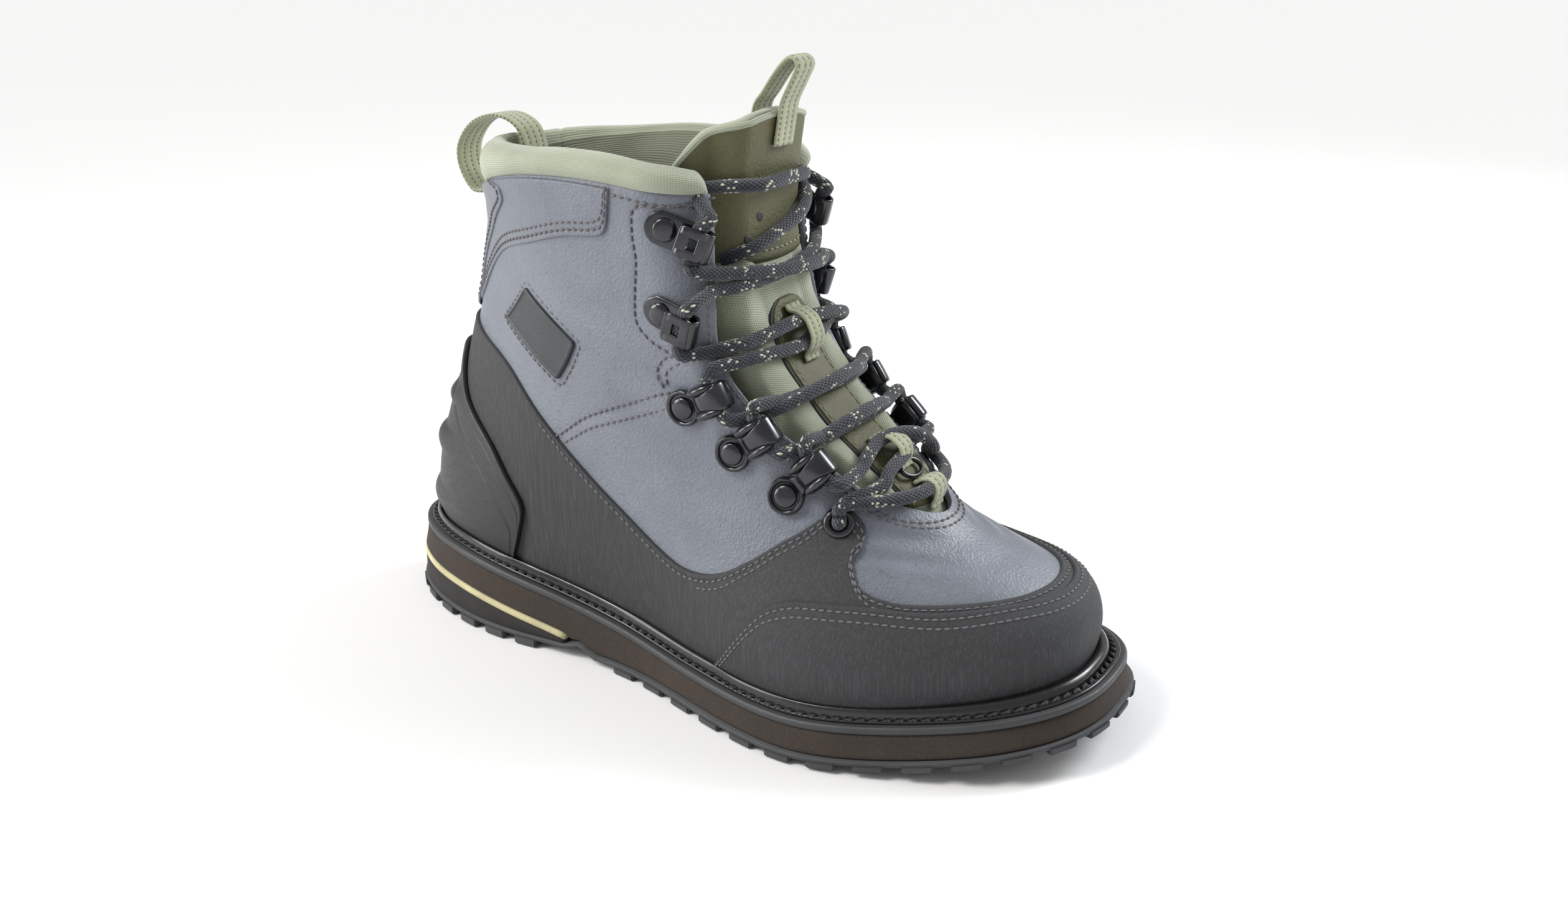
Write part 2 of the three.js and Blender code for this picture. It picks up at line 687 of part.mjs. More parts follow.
function overlay({ from, to, levels, low, high, inner, outer, loop = false }) {
  const columns = columnsBetween(from, to);
  const level = (i, j) => clamp(levels[i], low(columns[j]), high(columns[j]));
  const push = (value, i, j) => (typeof value === "function" ? value(level(i, j), columns[j]) : value);
  return sheet(
    levels.length - 1,
    columns.length - 1,
    (i, j) => shell(level(i, j), columns[j], push(outer, i, j)),
    (i, j) => shell(level(i, j), columns[j], push(inner, i, j)),
    { loop },
  );
}

const fold = (around) => (around > 1 ? 2 - around : Math.abs(around));
const edgeOf = (table) => (around) => connect(table, "around", "level", fold(around));

const RAND_IN = GAP + OVERLAY_PLAY;
const RAND_OUT = RAND_IN + RAND_THICK;
const CAP_IN = RAND_OUT + GAP + 2 * OVERLAY_PLAY;
const CAP_OUT = CAP_IN + CAP_THICK;
const COUNTER_OUT = CAP_IN + COUNTER_THICK;

function rand() {
  return overlay({
    from: 0, to: 2, levels: [0, 1, 2, 3, 4, 5, 6, 7, 8], loop: true,
    low: () => 0, high: edgeOf(RAND_EDGE), inner: RAND_IN, outer: RAND_OUT,
  });
}

function toeCap() {
  return overlay({
    from: CAP_START, to: 2 - CAP_START, levels: [0, 1, 2, 3, 4],
    low: () => 0, high: edgeOf(CAP_EDGE), inner: CAP_IN, outer: CAP_OUT,
  });
}

// Moulded counter with cross ribs behind the heel
function counterFace(level, around) {
  const rib = Math.max(0, Math.sin((level - 0.6) * Math.PI * 0.95)) * 1.3;
  const back = 1 - ease((Math.abs(around) - 0.1) / 0.12);
  const upperFade = 1 - ease((level - 4.6) / 1.2);
  return COUNTER_OUT + rib * back * upperFade;
}

function heelCounter() {
  return overlay({
    from: -COUNTER_END, to: COUNTER_END, levels: [0, 0.6, 1.1, 1.65, 2.2, 2.7, 3.2, 3.7, 4.3, 5, 6, 7],
    low: () => 0, high: edgeOf(COUNTER_EDGE), inner: CAP_IN, outer: counterFace,
  });
}

function heelPatch() {
  return overlay({
    from: -PATCH_END, to: PATCH_END, levels: OPEN_LEVELS.slice(2),
    low: edgeOf(PATCH_EDGE), high: () => PATCH_TOP, inner: RAND_IN, outer: RAND_IN + PATCH_THICK,
  });
}

add("rand", rand(), "rand");
add("toe_cap", toeCap(), "rand");
add("heel_counter", heelCounter(), "counter");
add("heel_patch", heelPatch(), "upper");

// Welt: a ring on the slip sole's ledge, with a groove and a bead against the overlays
const WELT_OUTSET = -1.4;
const WELT_STEPS = 24;
const WELT_INSET_GAP = 1.2;
const WELT_SECTION = [
  { across: 0, rise: 0.3 },
  { across: 0.2, rise: 1.5 },
  { across: 0.68, rise: 4.2 },
  { across: 1, rise: 3.9 },
  { across: 1, rise: 0.3 },
];

function outerFaceAt(level, around) {
  const share = fold(around);
  if (share < COUNTER_END + 0.01) return counterFace(level, share);
  if (share > CAP_START - 0.01) return CAP_OUT;
  return RAND_OUT;
}

function welt() {
  const outline = outlineRing(WELT_OUTSET, evenShares(WELT_STEPS));
  const faces = new Faces();
  const count = outline.length;
  const sections = outline.map((edge, i) => {
    const around = (2 * i) / count;
    const wall = shell(0.25, around, outerFaceAt(0.25, around) + WELT_INSET_GAP);
    return WELT_SECTION.map(({ across, rise }) => {
      const x = mix(edge.x, wall.x, across);
      return new THREE.Vector3(x, mix(edge.y, wall.y, across), soleTop(x) + rise);
    });
  });
  const ribs = WELT_SECTION.length;
  for (let i = 0; i < count; i += 1) {
    const next = sections[(i + 1) % count];
    for (let k = 0; k < ribs; k += 1) {
      const m = (k + 1) % ribs;
      faces.quad(sections[i][k], next[k], next[m], sections[i][m]);
    }
  }
  return faces.geometry();
}

add("welt", welt(), "welt");

// Padded collar: a lining inside the upper that rolls over its top edge
const COLLAR_SECTION = [
  { out: 0.2, rise: 0.02 },
  { out: 1.4, rise: 0.3 },
  { out: 1.0, rise: 0.7 },
  { out: -2.2, rise: 1 },
  { out: -7, rise: 1 },
  { out: -10.5, rise: 0.72 },
];
const COLLAR_INSIDE = [
  { level: 16.6, share: 1 },
  { level: 14.6, share: 0.9 },
  { level: 12.9, share: 0.4 },
];
const COLLAR_LEVELS = [12.6, 13.8, 15.4];
const COLLAR_STEPS = 13;

function collarThick(share) {
  return mix(COLLAR_THICK, COLLAR_THICK * 0.45, ease((share - 0.45) / 0.4));
}

function collarSection(around) {
  const share = Math.abs(around);
  const thick = collarThick(share);
  const edge = skin(TOP_LEVEL, around);
  const normal = skinNormal(TOP_LEVEL, around).setZ(0).normalize();
  const rise = mix(COLLAR_BACK_RISE, COLLAR_RISE, ease(share / 0.45)) * (1 - 0.25 * ease((share - 0.75) / 0.12));
  const scale = thick / COLLAR_THICK;
  const section = COLLAR_SECTION.map((row) => {
    const point = edge.clone().addScaledVector(normal, row.out * (row.out < 0 ? scale : 1));
    return point.setZ(edge.z + GAP + row.rise * rise);
  });
  const wallFace = WALL + COLLAR_PLAY;
  const inside = (level, push) => shell(level, (around * throatEdge(level)) / throatEdge(TOP_LEVEL), -wallFace - push);
  for (const row of COLLAR_INSIDE) section.push(inside(row.level, row.share * (thick - WALL)));
  for (const level of COLLAR_LEVELS) section.push(inside(level, 0));
  section.push(inside(TOP_LEVEL, 0).setZ(edge.z + GAP));
  return section;
}

function collarPad() {
  const end = throatEdge(TOP_LEVEL) - 0.005;
  const sections = [];
  for (let j = -COLLAR_STEPS; j <= COLLAR_STEPS; j += 1) sections.push(collarSection((end * j) / COLLAR_STEPS));
  return loft(sections);
}

// Closed solid through a row of sections with the same number of corners
function loft(sections) {
  const faces = new Faces();
  const corners = sections[0].length;
  for (let j = 0; j + 1 < sections.length; j += 1) {
    for (let k = 0; k < corners; k += 1) {
      const m = (k + 1) % corners;
      faces.quad(sections[j][k], sections[j + 1][k], sections[j + 1][m], sections[j][m]);
    }
  }
  const capEnd = (section, flip) => {
    const flat = sectionShape(section);
    for (const corners of THREE.ShapeUtils.triangulateShape(flat, [])) {
      const [a, b, c] = corners.sort((p, q) => p - q);
      if (flip) faces.tri(section[c], section[b], section[a]);
      else faces.tri(section[a], section[b], section[c]);
    }
  };
  capEnd(sections[0], false);
  capEnd(sections[sections.length - 1], true);
  return faces.geometry();
}

// A section's corners laid flat in its own plane
function sectionShape(section) {
  const origin = section[0];
  const normal = new THREE.Vector3();
  for (let k = 0; k < section.length; k += 1) {
    const a = section[k].clone().sub(origin);
    const b = section[(k + 1) % section.length].clone().sub(origin);
    normal.add(a.cross(b));
  }
  normal.normalize();
  const axis = Math.abs(normal.z) < 0.9 ? new THREE.Vector3(0, 0, 1) : new THREE.Vector3(1, 0, 0);
  const across = axis.clone().cross(normal).normalize();
  const up = normal.clone().cross(across);
  return section.map((p) => {
    const d = p.clone().sub(origin);
    return new THREE.Vector2(d.dot(across), d.dot(up));
  });
}

add("collar_pad", collarPad(), "collar");

// Tongue: a padded sheet behind the throat, under the upper's edges and inside the collar
const TONGUE_LEVELS = [7, 8, 8.8, 9.7, 10.8, 12.2, 13.8, 15.4, 17, 18, TONGUE_TIP_LEVEL];
const TONGUE_COLUMNS = 10;

function tongueReach(level) {
  return 1 - follow([
    { level: 7, reach: 0.12 },
    { level: 9, reach: 0.26 },
    { level: 11, reach: 0.31 },
    { level: 13, reach: 0.3 },
    { level: 15, reach: 0.28 },
    { level: 17, reach: 0.3 },
    { level: 19, reach: 0.24 },
  ], "level", "reach", level);
}

// Distance of the tongue's front face from the upper's outer face
function tonguePush(level, share) {
  const edge = Math.min(throatEdge(level), 0.97);
  const under = WALL + TONGUE_PLAY;
  const inCollar = ease((level - 10.5) / 1.5) * (collarThick(share) + COLLAR_PLAY);
  const free = ease((share - edge - 0.005) / 0.07);
  return mix(-under - inCollar, -1.2, free * ease((level - THROAT_LEVEL) / 0.8));
}

function tongueThick(level, share) {
  const edge = Math.min(throatEdge(level), 0.97);
  return mix(TONGUE_EDGE_THICK, TONGUE_THICK, ease((share - edge) / 0.08));
}

// How far the tongue's top rows sink towards its sides
function tongueDroop(level, share) {
  return TONGUE_DROOP * ((1 - share) / 0.3) ** 2 * clamp((level - 16) / 3, 0, 1);
}

function tongue() {
  const around = (i, j) => mix(tongueReach(TONGUE_LEVELS[i]), 2 - tongueReach(TONGUE_LEVELS[i]), j / TONGUE_COLUMNS);
  const place = (i, j, deep) => {
    const at = around(i, j);
    const share = fold(at);
    const level = TONGUE_LEVELS[i] - tongueDroop(TONGUE_LEVELS[i], share);
    return shell(level, at, tonguePush(level, share) - deep * tongueThick(level, share));
  };
  return sheet(TONGUE_LEVELS.length - 1, TONGUE_COLUMNS, (i, j) => place(i, j, 0), (i, j) => place(i, j, 1));
}

add("tongue", tongue(), "tongue");

// Pieces sewn on the tongue's front face
function onTongue(level, around, lift) {
  const share = fold(around);
  return shell(level, around, tonguePush(level, share) + lift);
}

function tonguePiece(levels, reach, columns, thick) {
  const around = (i, j) => mix(1 - reach(levels[i]), 1 + reach(levels[i]), j / columns);
  const place = (i, j, lift) => {
    const at = around(i, j);
    return onTongue(levels[i] - tongueDroop(levels[i], fold(at)), at, lift);
  };
  return sheet(
    levels.length - 1,
    columns,
    (i, j) => place(i, j, SEAT + thick),
    (i, j) => place(i, j, SEAT),
  );
}

const PANEL_LEVELS = [15.4, 17, 18, TONGUE_TIP_LEVEL];
const STRIP_LEVELS = TONGUE_LEVELS.slice(2, 7);

const panelReach = (level) => 1 - tongueReach(level);
const stripReach = (level) => 0.075 - 0.035 * ease((level - 12.4) / 1.4);

add("tongue_panel", tonguePiece(PANEL_LEVELS, panelReach, TONGUE_COLUMNS, PANEL_THICK), "olive");
add("tongue_strip", tonguePiece(STRIP_LEVELS, stripReach, 4, PANEL_THICK), "olive");

// Flat strap along a path, lying across a given direction
function ribbon(path, across, width, thick) {
  const last = path.length - 1;
  return loft(path.map((point, i) => {
    const run = path[Math.min(last, i + 1)].clone().sub(path[Math.max(0, i - 1)]).normalize();
    const out = across.clone().cross(run).normalize();
    const corner = (a, b) => point.clone().addScaledVector(across, (a * width) / 2).addScaledVector(out, (b * thick) / 2);
    return [corner(-1, -1), corner(1, -1), corner(1, 1), corner(-1, 1)];
  }));
}

function smoothPath(points, steps) {
  return new THREE.CatmullRomCurve3(points, false, "centripetal").getPoints(steps);
}

// Lace keepers: short straps bowed up from the tongue's middle
const KEEPERS = [
  { name: "keeper_low", level: 8.9, reach: 0.45, foot: -0.6, rise: 7.6 },
  { name: "keeper_middle", level: 10.15, reach: 0.6, foot: 0, rise: 6.9 },
  { name: "keeper_high", level: 13.1, reach: 0.85, foot: 0, rise: 7.8 },
];

function keeper({ level, reach, foot: lift, rise }) {
  const foot = PANEL_THICK + SEAT + GAP + STRAP_THICK / 2 + lift;
  const points = [
    onTongue(level + reach, 1, foot),
    onTongue(level + reach * 0.72, 1, foot + rise * 0.75),
    onTongue(level, 1, foot + rise),
    onTongue(level - reach * 0.72, 1, foot + rise * 0.75),
    onTongue(level - reach, 1, foot),
  ];
  return ribbon(smoothPath(points, 8), new THREE.Vector3(0, 1, 0), KEEPER_WIDTH, STRAP_THICK);
}

for (const row of KEEPERS) add(row.name, keeper(row), "webbing");

// Pull loops: both ends lie on what carries them, with the points between measured from a base
const BACK_LOOP = [[-13, -2], [-19, 8], [-18, 18], [-9, 28], [5, 31.5], [15, 27]];
const TONGUE_LOOP = [[3, 4], [6, 16], [6.5, 23], [2, 26], [-2.5, 22], [-6.4, 8]];

function loopPath(start, base, offsets, end) {
  const middle = offsets.map(([dx, dz]) => new THREE.Vector3(base.x + dx, base.y, base.z + dz));
  return smoothPath([...start, ...middle, ...end], 16);
}

function backLoop() {
  const base = skin(TOP_LEVEL, 0);
  const out = GAP + PATCH_THICK + SEAT + STRAP_THICK;
  const into = -WALL - COLLAR_PLAY - COLLAR_THICK - 3 * SEAT - STRAP_THICK;
  const start = [shell(14.4, 0, out + 0.4), shell(15.9, 0, out + 0.6)];
  const end = [shell(TOP_LEVEL, 0, into).setZ(base.z + 14), shell(TOP_LEVEL, 0, into).setZ(base.z + 2)];
  return ribbon(loopPath(start, base, BACK_LOOP, end), new THREE.Vector3(0, 1, 0), BACK_LOOP_WIDTH, STRAP_THICK);
}

function tongueLoop() {
  const base = onTongue(TONGUE_TIP_LEVEL, 1, 0);
  const front = PANEL_THICK + SEAT + GAP + STRAP_THICK;
  const behind = -TONGUE_THICK - GAP - STRAP_THICK;
  const start = [onTongue(18, 1, front), onTongue(TONGUE_TIP_LEVEL, 1, front)];
  const end = [onTongue(TONGUE_TIP_LEVEL, 1, behind), onTongue(18, 1, behind)];
  return ribbon(loopPath(start, base, TONGUE_LOOP, end), new THREE.Vector3(0, 1, 0), TONGUE_LOOP_WIDTH, STRAP_THICK);
}

add("back_loop", backLoop(), "webbing");
add("tongue_loop", tongueLoop(), "webbing");

// Badge plate on the outer side, left bare
const BADGE_CORNERS = [
  [{ level: 9.27, around: 0.272 }, { level: 8.25, around: 0.385 }],
  [{ level: 11.07, around: 0.346 }, { level: 10.05, around: 0.436 }],
];

function badgePlate() {
  const steps = 4;
  const blend = (key, a, b) => mix(
    mix(BADGE_CORNERS[0][0][key], BADGE_CORNERS[0][1][key], b),
    mix(BADGE_CORNERS[1][0][key], BADGE_CORNERS[1][1][key], b),
    a,
  );
  const place = (i, j, push) => shell(blend("level", i / steps, j / steps), blend("around", i / steps, j / steps), push);
  return sheet(steps, steps, (i, j) => place(i, j, SEAT + BADGE_THICK), (i, j) => place(i, j, SEAT));
}

add("badge_plate", badgePlate(), "badge");

// Lace hooks: a riveted plate whose front curls up and back over the lace
const HOOKS = [
  { level: 15.95, around: 0.753, tipLevel: 15.8, tipAround: 0.814, scale: 1 },
  { level: 13.4, around: 0.694, tipLevel: 13.5, tipAround: 0.754, scale: 1 },
  { level: 9.9, around: 0.604, tipLevel: 11.4, tipAround: 0.727, scale: 1.1 },
  { level: 8.9, around: 0.647, tipLevel: 10.6, tipAround: 0.771, scale: 1.1 },
  { level: 8.0, around: 0.698, tipLevel: 9.5, tipAround: 0.798, scale: 1.1 },
];
const EYELET = { level: 7.3, around: 0.757 };

// Local axes on the upper: x towards the throat, z away from the foot
function seatFrame(level, around, tipLevel, tipAround, push) {
  const origin = shell(level, around, push);
  const out = skinNormal(level, around);
  const run = skin(tipLevel, tipAround).sub(skin(level, around));
  run.addScaledVector(out, -run.dot(out)).normalize();
  return new THREE.Matrix4().makeBasis(run, out.clone().cross(run), out).setPosition(origin);
}

function cylinder(radius, from, to, x) {
  const shape = new THREE.CylinderGeometry(radius, radius, to - from, 8);
  return shape.rotateX(Math.PI / 2).translate(x, 0, (from + to) / 2);
}

function hook(row, side) {
  const curl = smoothPath([
    new THREE.Vector3(-7, 0, HOOK_THICK / 2),
    new THREE.Vector3(6, 0, HOOK_THICK / 2),
    new THREE.Vector3(9.5, 0, 1.4),
    new THREE.Vector3(11.5, 0, HOOK_HEIGHT / 2),
    new THREE.Vector3(9.8, 0, HOOK_HEIGHT - 0.6),
    new THREE.Vector3(6, 0, HOOK_HEIGHT),
    new THREE.Vector3(2.6, 0, HOOK_HEIGHT),
  ], 6);
  const plate = ribbon(curl, new THREE.Vector3(0, 1, 0), HOOK_WIDTH, HOOK_THICK);
  const rivet = cylinder(RIVET_RADIUS, 0, RIVET_HEIGHT, -2);
  const piece = join([plate, rivet]);
  const frame = seatFrame(row.level, side * row.around, row.tipLevel, side * row.tipAround, SEAT);
  return piece.scale(row.scale, row.scale, 1).applyMatrix4(frame);
}

function eyelet(side) {
  const flange = new THREE.LatheGeometry([
    new THREE.Vector2(EYELET_BORE, 0),
    new THREE.Vector2(EYELET_FLANGE, 0),
    new THREE.Vector2(EYELET_FLANGE - 0.8, 1.2),
    new THREE.Vector2(EYELET_BORE, 1.2),
    new THREE.Vector2(EYELET_BORE, 0),
  ], 10);
  const tip = { level: EYELET.level + 1, around: EYELET.around + 0.03 };
  const frame = seatFrame(EYELET.level, side * EYELET.around, tip.level, side * tip.around, RAND_OUT + GAP + EYELET_SINK);
  return tidy(flange.rotateX(Math.PI / 2).applyMatrix4(frame).toNonIndexed());
}

for (const [word, side] of [["outer", 1], ["inner", -1]]) {
  HOOKS.forEach((row, k) => add(`hook_${word}_${k + 1}`, hook(row, side), "hook"));
  add(`eyelet_${word}`, eyelet(side), "hook");
}

// Lace: crossed strands between the hooks, joined where they cross and clear of what they run past
const LACE_STEPS = 7;
const LACE_ROWS = [
  { name: "lace_bar", low: 0, high: 0, level: 8.9, over: 0 },
  { name: "lace_cross_1", low: 0, high: 5, level: 10.15, over: 0 },
  { name: "lace_cross_2", low: 5, high: 4, level: 11, over: 2 },
  { name: "lace_cross_3", low: 4, high: 3, level: 12, over: 2 },
  { name: "lace_cross_4", low: 3, high: 2, level: 13.1, over: 0 },
  { name: "lace_cross_5", low: 2, high: 1, level: 15, over: 2 },
];

// Level and around where a strand leaves a hook, or the eyelet for index 0
function laceEnd(index, upward) {
  if (index === 0) return { level: EYELET.level + 0.9 + 0.35 * upward, around: EYELET.around + 0.06 };
  const row = HOOKS[index - 1];
  const reach = (HOOK_WIDTH * row.scale) / 2 + LACE_CLEAR;
  const rise = skin(row.tipLevel + 1, row.tipAround).distanceTo(skin(row.tipLevel, row.tipAround));
  return { level: row.tipLevel + (upward * reach) / rise, around: row.tipAround };
}

function strand(points) {
  const path = smoothPath(points, LACE_STEPS);
  const last = path.length - 1;
  return loft(path.map((point, i) => {
    const run = path[Math.min(last, i + 1)].clone().sub(path[Math.max(0, i - 1)]).normalize();
    const across = run.clone().cross(new THREE.Vector3(0, 0, 1)).normalize();
    const out = across.clone().cross(run);
    return Array.from({ length: LACE_SIDES }, (_, k) => {
      const angle = (2 * Math.PI * k) / LACE_SIDES;
      return point.clone()
        .addScaledVector(across, LACE_RADIUS * Math.cos(angle))
        .addScaledVector(out, LACE_RADIUS * Math.sin(angle));
    });
  }));
}

// Strand from a hook on one side over the tongue to the next hook up on the other side
function crossing(row, side) {
  const bar = row.low === row.high;
  const from = laceEnd(row.low, bar ? -1 : 1);
  const to = laceEnd(row.high, -1);
  const bow = row.level - (from.level + to.level) / 2;
  const over = side > 0 ? row.over : 0;
  const points = evenShares(6).map((t) => {
    const level = mix(from.level, to.level, t) + 4 * bow * t * (1 - t);
    const around = mix(from.around, 2 - to.around, t);
    return shell(level, side > 0 ? around : 2 - around, LACE_LIFT + 4 * over * t * (1 - t));
  });
  return strand(points);
}

for (const row of LACE_ROWS) {
  const sides = row.low === row.high ? [1] : [1, -1];
  const strands = sides.map((side) => crossing(row, side));
  add(row.name, strands.length > 1 ? join(strands) : strands[0], "lace");
}

export default boot;
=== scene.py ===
# %% [markdown]
# # A wading boot for the right foot
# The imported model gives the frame: every piece below lies where its solid lies, in metres. The forms are
# worked out in millimetres with the same sizes and tables as the solids, only on finer grids.

# %% Frame, sizes and small helpers
import json
import math

import bmesh
import bpy
import numpy as np
from mathutils import Matrix, Vector

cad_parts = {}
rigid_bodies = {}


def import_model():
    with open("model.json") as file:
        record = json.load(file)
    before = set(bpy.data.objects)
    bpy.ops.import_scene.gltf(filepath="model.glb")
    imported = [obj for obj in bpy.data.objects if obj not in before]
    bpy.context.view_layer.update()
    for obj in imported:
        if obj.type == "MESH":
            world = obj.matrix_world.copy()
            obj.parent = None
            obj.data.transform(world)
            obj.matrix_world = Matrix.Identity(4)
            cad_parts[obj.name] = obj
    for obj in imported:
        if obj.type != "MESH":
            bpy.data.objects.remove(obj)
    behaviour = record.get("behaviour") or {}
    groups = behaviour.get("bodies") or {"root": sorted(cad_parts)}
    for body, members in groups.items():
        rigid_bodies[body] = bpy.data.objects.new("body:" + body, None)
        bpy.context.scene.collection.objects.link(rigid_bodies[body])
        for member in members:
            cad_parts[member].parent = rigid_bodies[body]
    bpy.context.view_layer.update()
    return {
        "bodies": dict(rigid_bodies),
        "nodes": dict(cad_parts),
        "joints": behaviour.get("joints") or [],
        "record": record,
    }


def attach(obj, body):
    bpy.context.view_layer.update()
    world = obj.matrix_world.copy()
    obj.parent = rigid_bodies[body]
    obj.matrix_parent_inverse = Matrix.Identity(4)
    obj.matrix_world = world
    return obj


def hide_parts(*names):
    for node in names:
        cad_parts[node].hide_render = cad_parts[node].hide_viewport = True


for leftover in list(bpy.data.objects):
    bpy.data.objects.remove(leftover)
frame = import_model()

MM = 0.001
SOLE_LENGTH = 316.0
HALF = SOLE_LENGTH / 2
HALF_BALL = 61.0
HEEL_HEIGHT, FORE_HEIGHT, TOE_SPRING = 32.0, 15.4, 12.5
UPPER_HEIGHT, WALL, GAP = 173.0, 2.4, 0.3
SIDE_SHIFT = 2.05
TOP_LEVEL, THROAT_LEVEL, TIP_LEVEL = 17.0, 8.0, 18.8


def add(name, data):
    """New object in the scene from a mesh, a curve, a lamp or a camera."""
    obj = bpy.data.objects.new(name, data)
    bpy.context.scene.collection.objects.link(obj)
    return obj


# %% [markdown]
# ## Camera, light and floor
# The photograph is taken from the outer side, a little above the collar, with a lens of 32 mm. The camera
# stands where a fit of one camera to the boot's outline put it.

# %% Camera and studio
TURN, RISE, ROLL = math.radians(31.53), math.radians(20.34), math.radians(-0.39)
LENS, SENSOR = 32.06, 36.0
CAMERA_SPOT = Vector((0.2874, -0.4283 + SIDE_SHIFT * MM, 0.2704))

back = Vector((math.sin(TURN) * math.cos(RISE), -math.cos(TURN) * math.cos(RISE), math.sin(RISE)))
right = Vector((math.cos(TURN), math.sin(TURN), 0))
up = back.cross(right)
tilted_right = right * math.cos(ROLL) + up * math.sin(ROLL)
tilted_up = up * math.cos(ROLL) - right * math.sin(ROLL)

camera_data = bpy.data.cameras.new("camera")
camera_data.lens, camera_data.sensor_width, camera_data.sensor_fit = LENS, SENSOR, "HORIZONTAL"
camera = add("camera", camera_data)
facing = Matrix((tilted_right, tilted_up, back)).transposed().to_4x4()
camera.matrix_world = Matrix.Translation(CAMERA_SPOT) @ facing
bpy.context.scene.camera = camera


def lamp(name, kind, toward, power, tint):
    """Lamp of a kind that shines from a direction."""
    data = bpy.data.lights.new(name, kind)
    data.energy, data.color = power, tint
    made = add(name, data)
    made.rotation_euler = (-Vector(toward)).to_track_quat("-Z", "Y").to_euler()
    return made


def area_light(name, spot, target, size, power, tint):
    made = lamp(name, "AREA", Vector(spot) - Vector(target), power, tint)
    made.data.shape, made.data.size = "DISK", size
    made.location = spot


def sun_light(name, toward, power, spread_angle, tint):
    """Distant light, so that the floor is lit evenly far away."""
    lamp(name, "SUN", toward, power, tint).data.angle = math.radians(spread_angle)


sun_light("key_light", (-0.5, -0.55, 0.85), 2.3, 22, (1.0, 0.985, 0.965))
area_light("side_light", (-0.75, -0.6, 0.35), (-0.05, 0.0, 0.1), 0.5, 5.0, (1.0, 0.99, 0.98))
sun_light("rim_light", (0.62, 0.62, 0.6), 0.8, 35, (0.96, 0.98, 1.0))
area_light("shine_light", (0.6, 0.75, 0.75), (0.06, 0.0, 0.08), 0.5, 10.0, (0.96, 0.98, 1.0))

world = bpy.data.worlds.new("studio")
world.use_nodes = True
world.node_tree.nodes["Background"].inputs["Color"].default_value = (1, 1, 1, 1)
world.node_tree.nodes["Background"].inputs["Strength"].default_value = 0.5
bpy.context.scene.world = world
bpy.context.scene.view_settings.view_transform = "Standard"
print("camera at", tuple(round(v, 4) for v in CAMERA_SPOT))

# %% [markdown]
# ## Forms
# The sole follows one outline table, and the upper follows rings of levels between the sole and the
# collar. `skin` gives a point of the upper's outer face from a level and a place around it, for whole
# arrays at once.

# %% Sole functions
SOLE_TABLE = np.array([
    [-100, -4, 70.5], [-70, -4, 70.5], [-16, -5, 65.5], [40, -4, 100], [76, 5, 86], [100, 6.5, 72]], float)


def ease(share):
    t = np.clip(share, 0, 1)
    return t * t * (3 - 2 * t)


def mix(a, b, share):
    return a + (b - a) * share


def hump(value, middle, width):
    """Smooth bump of height 1 about a middle."""
    return np.exp(-(((value - middle) / width) ** 2))


def squarish(value, power):
    """A value with its size raised to a power and its sign kept."""
    return np.sign(value) * np.abs(value) ** power


def circle(count):
    """Angles of points spread evenly round a circle."""
    return 2 * np.pi * np.arange(count) / count


def run_along(points):
    """Distance run at each point of a path."""
    return np.concatenate([[0], np.cumsum(np.linalg.norm(np.diff(points, axis=0), axis=1))])


def pick(at, run, points):
    """Points at given distances along a path, from the distance run at each of its points."""
    return np.stack([np.interp(at, run, points[:, c]) for c in range(points.shape[1])], axis=-1)


def follow(stations, values, at):
    """Smooth curve through values at the stations. Values may hold one row for each point."""
    stations = np.asarray(stations, float)
    values = np.asarray(values, float)
    at = np.asarray(at, float)
    last = len(stations) - 1
    k = np.clip(np.searchsorted(stations, at, side="right") - 1, 0, last - 1)

    def value(i):
        if values.ndim == 1:
            return values[i]
        return np.take_along_axis(values, i[..., None], axis=-1)[..., 0]

    def slope(i):
        before, after = np.maximum(i - 1, 0), np.minimum(i + 1, last)
        return (value(after) - value(before)) / (stations[after] - stations[before])

    step = stations[k + 1] - stations[k]
    t = np.clip((at - stations[k]) / step, 0, 1)
    first = (2 * t**3 - 3 * t**2 + 1) * value(k) + (t**3 - 2 * t**2 + t) * step * slope(k)
    return first + (3 * t**2 - 2 * t**3) * value(k + 1) + (t**3 - t**2) * step * slope(k + 1)


def curve_through(stations, points, at):
    """Points of a smooth curve through given points at the stations."""
    return np.stack([follow(stations, points[:, c], at) for c in range(points.shape[1])], axis=-1)


def round_end(distance, reach, power):
    t = np.clip(1 - distance / reach, 0, 1)
    return np.maximum(1 - t**power, 0) ** (1 / power)


def sole_top(x):
    share = (x + HALF) / SOLE_LENGTH
    spring = TOE_SPRING * np.clip((share - 0.62) / 0.38, 0, 2) ** 2
    return mix(HEEL_HEIGHT, FORE_HEIGHT, ease((share - 0.12) / 0.43)) + spring


def ground(x):
    share = (x + HALF) / SOLE_LENGTH
    return TOE_SPRING * np.clip((share - 0.66) / 0.34, 0, 2) ** 2


BREAST, ARCH_END, ARCH_RISE = -52.0, -36.0, 3.0
HEEL_DROP, OUTSOLE_THICK, HEEL_OUTSOLE, PLATE = 14.0, 4.0, 5.0, 2.0


def outsole_top(x):
    share = np.clip((x - BREAST) / (ARCH_END - BREAST), 0, 1)
    arch = ARCH_RISE * np.sin(np.pi * share) ** 2
    return mix(ground(x) + OUTSOLE_THICK, HEEL_OUTSOLE, 1 - ease((x - BREAST) / (ARCH_END - BREAST))) + arch


def midsole_bottom(x):
    return mix(outsole_top(x) + GAP, sole_top(x) - HEEL_DROP, 1 - ease((x - BREAST) / 6))


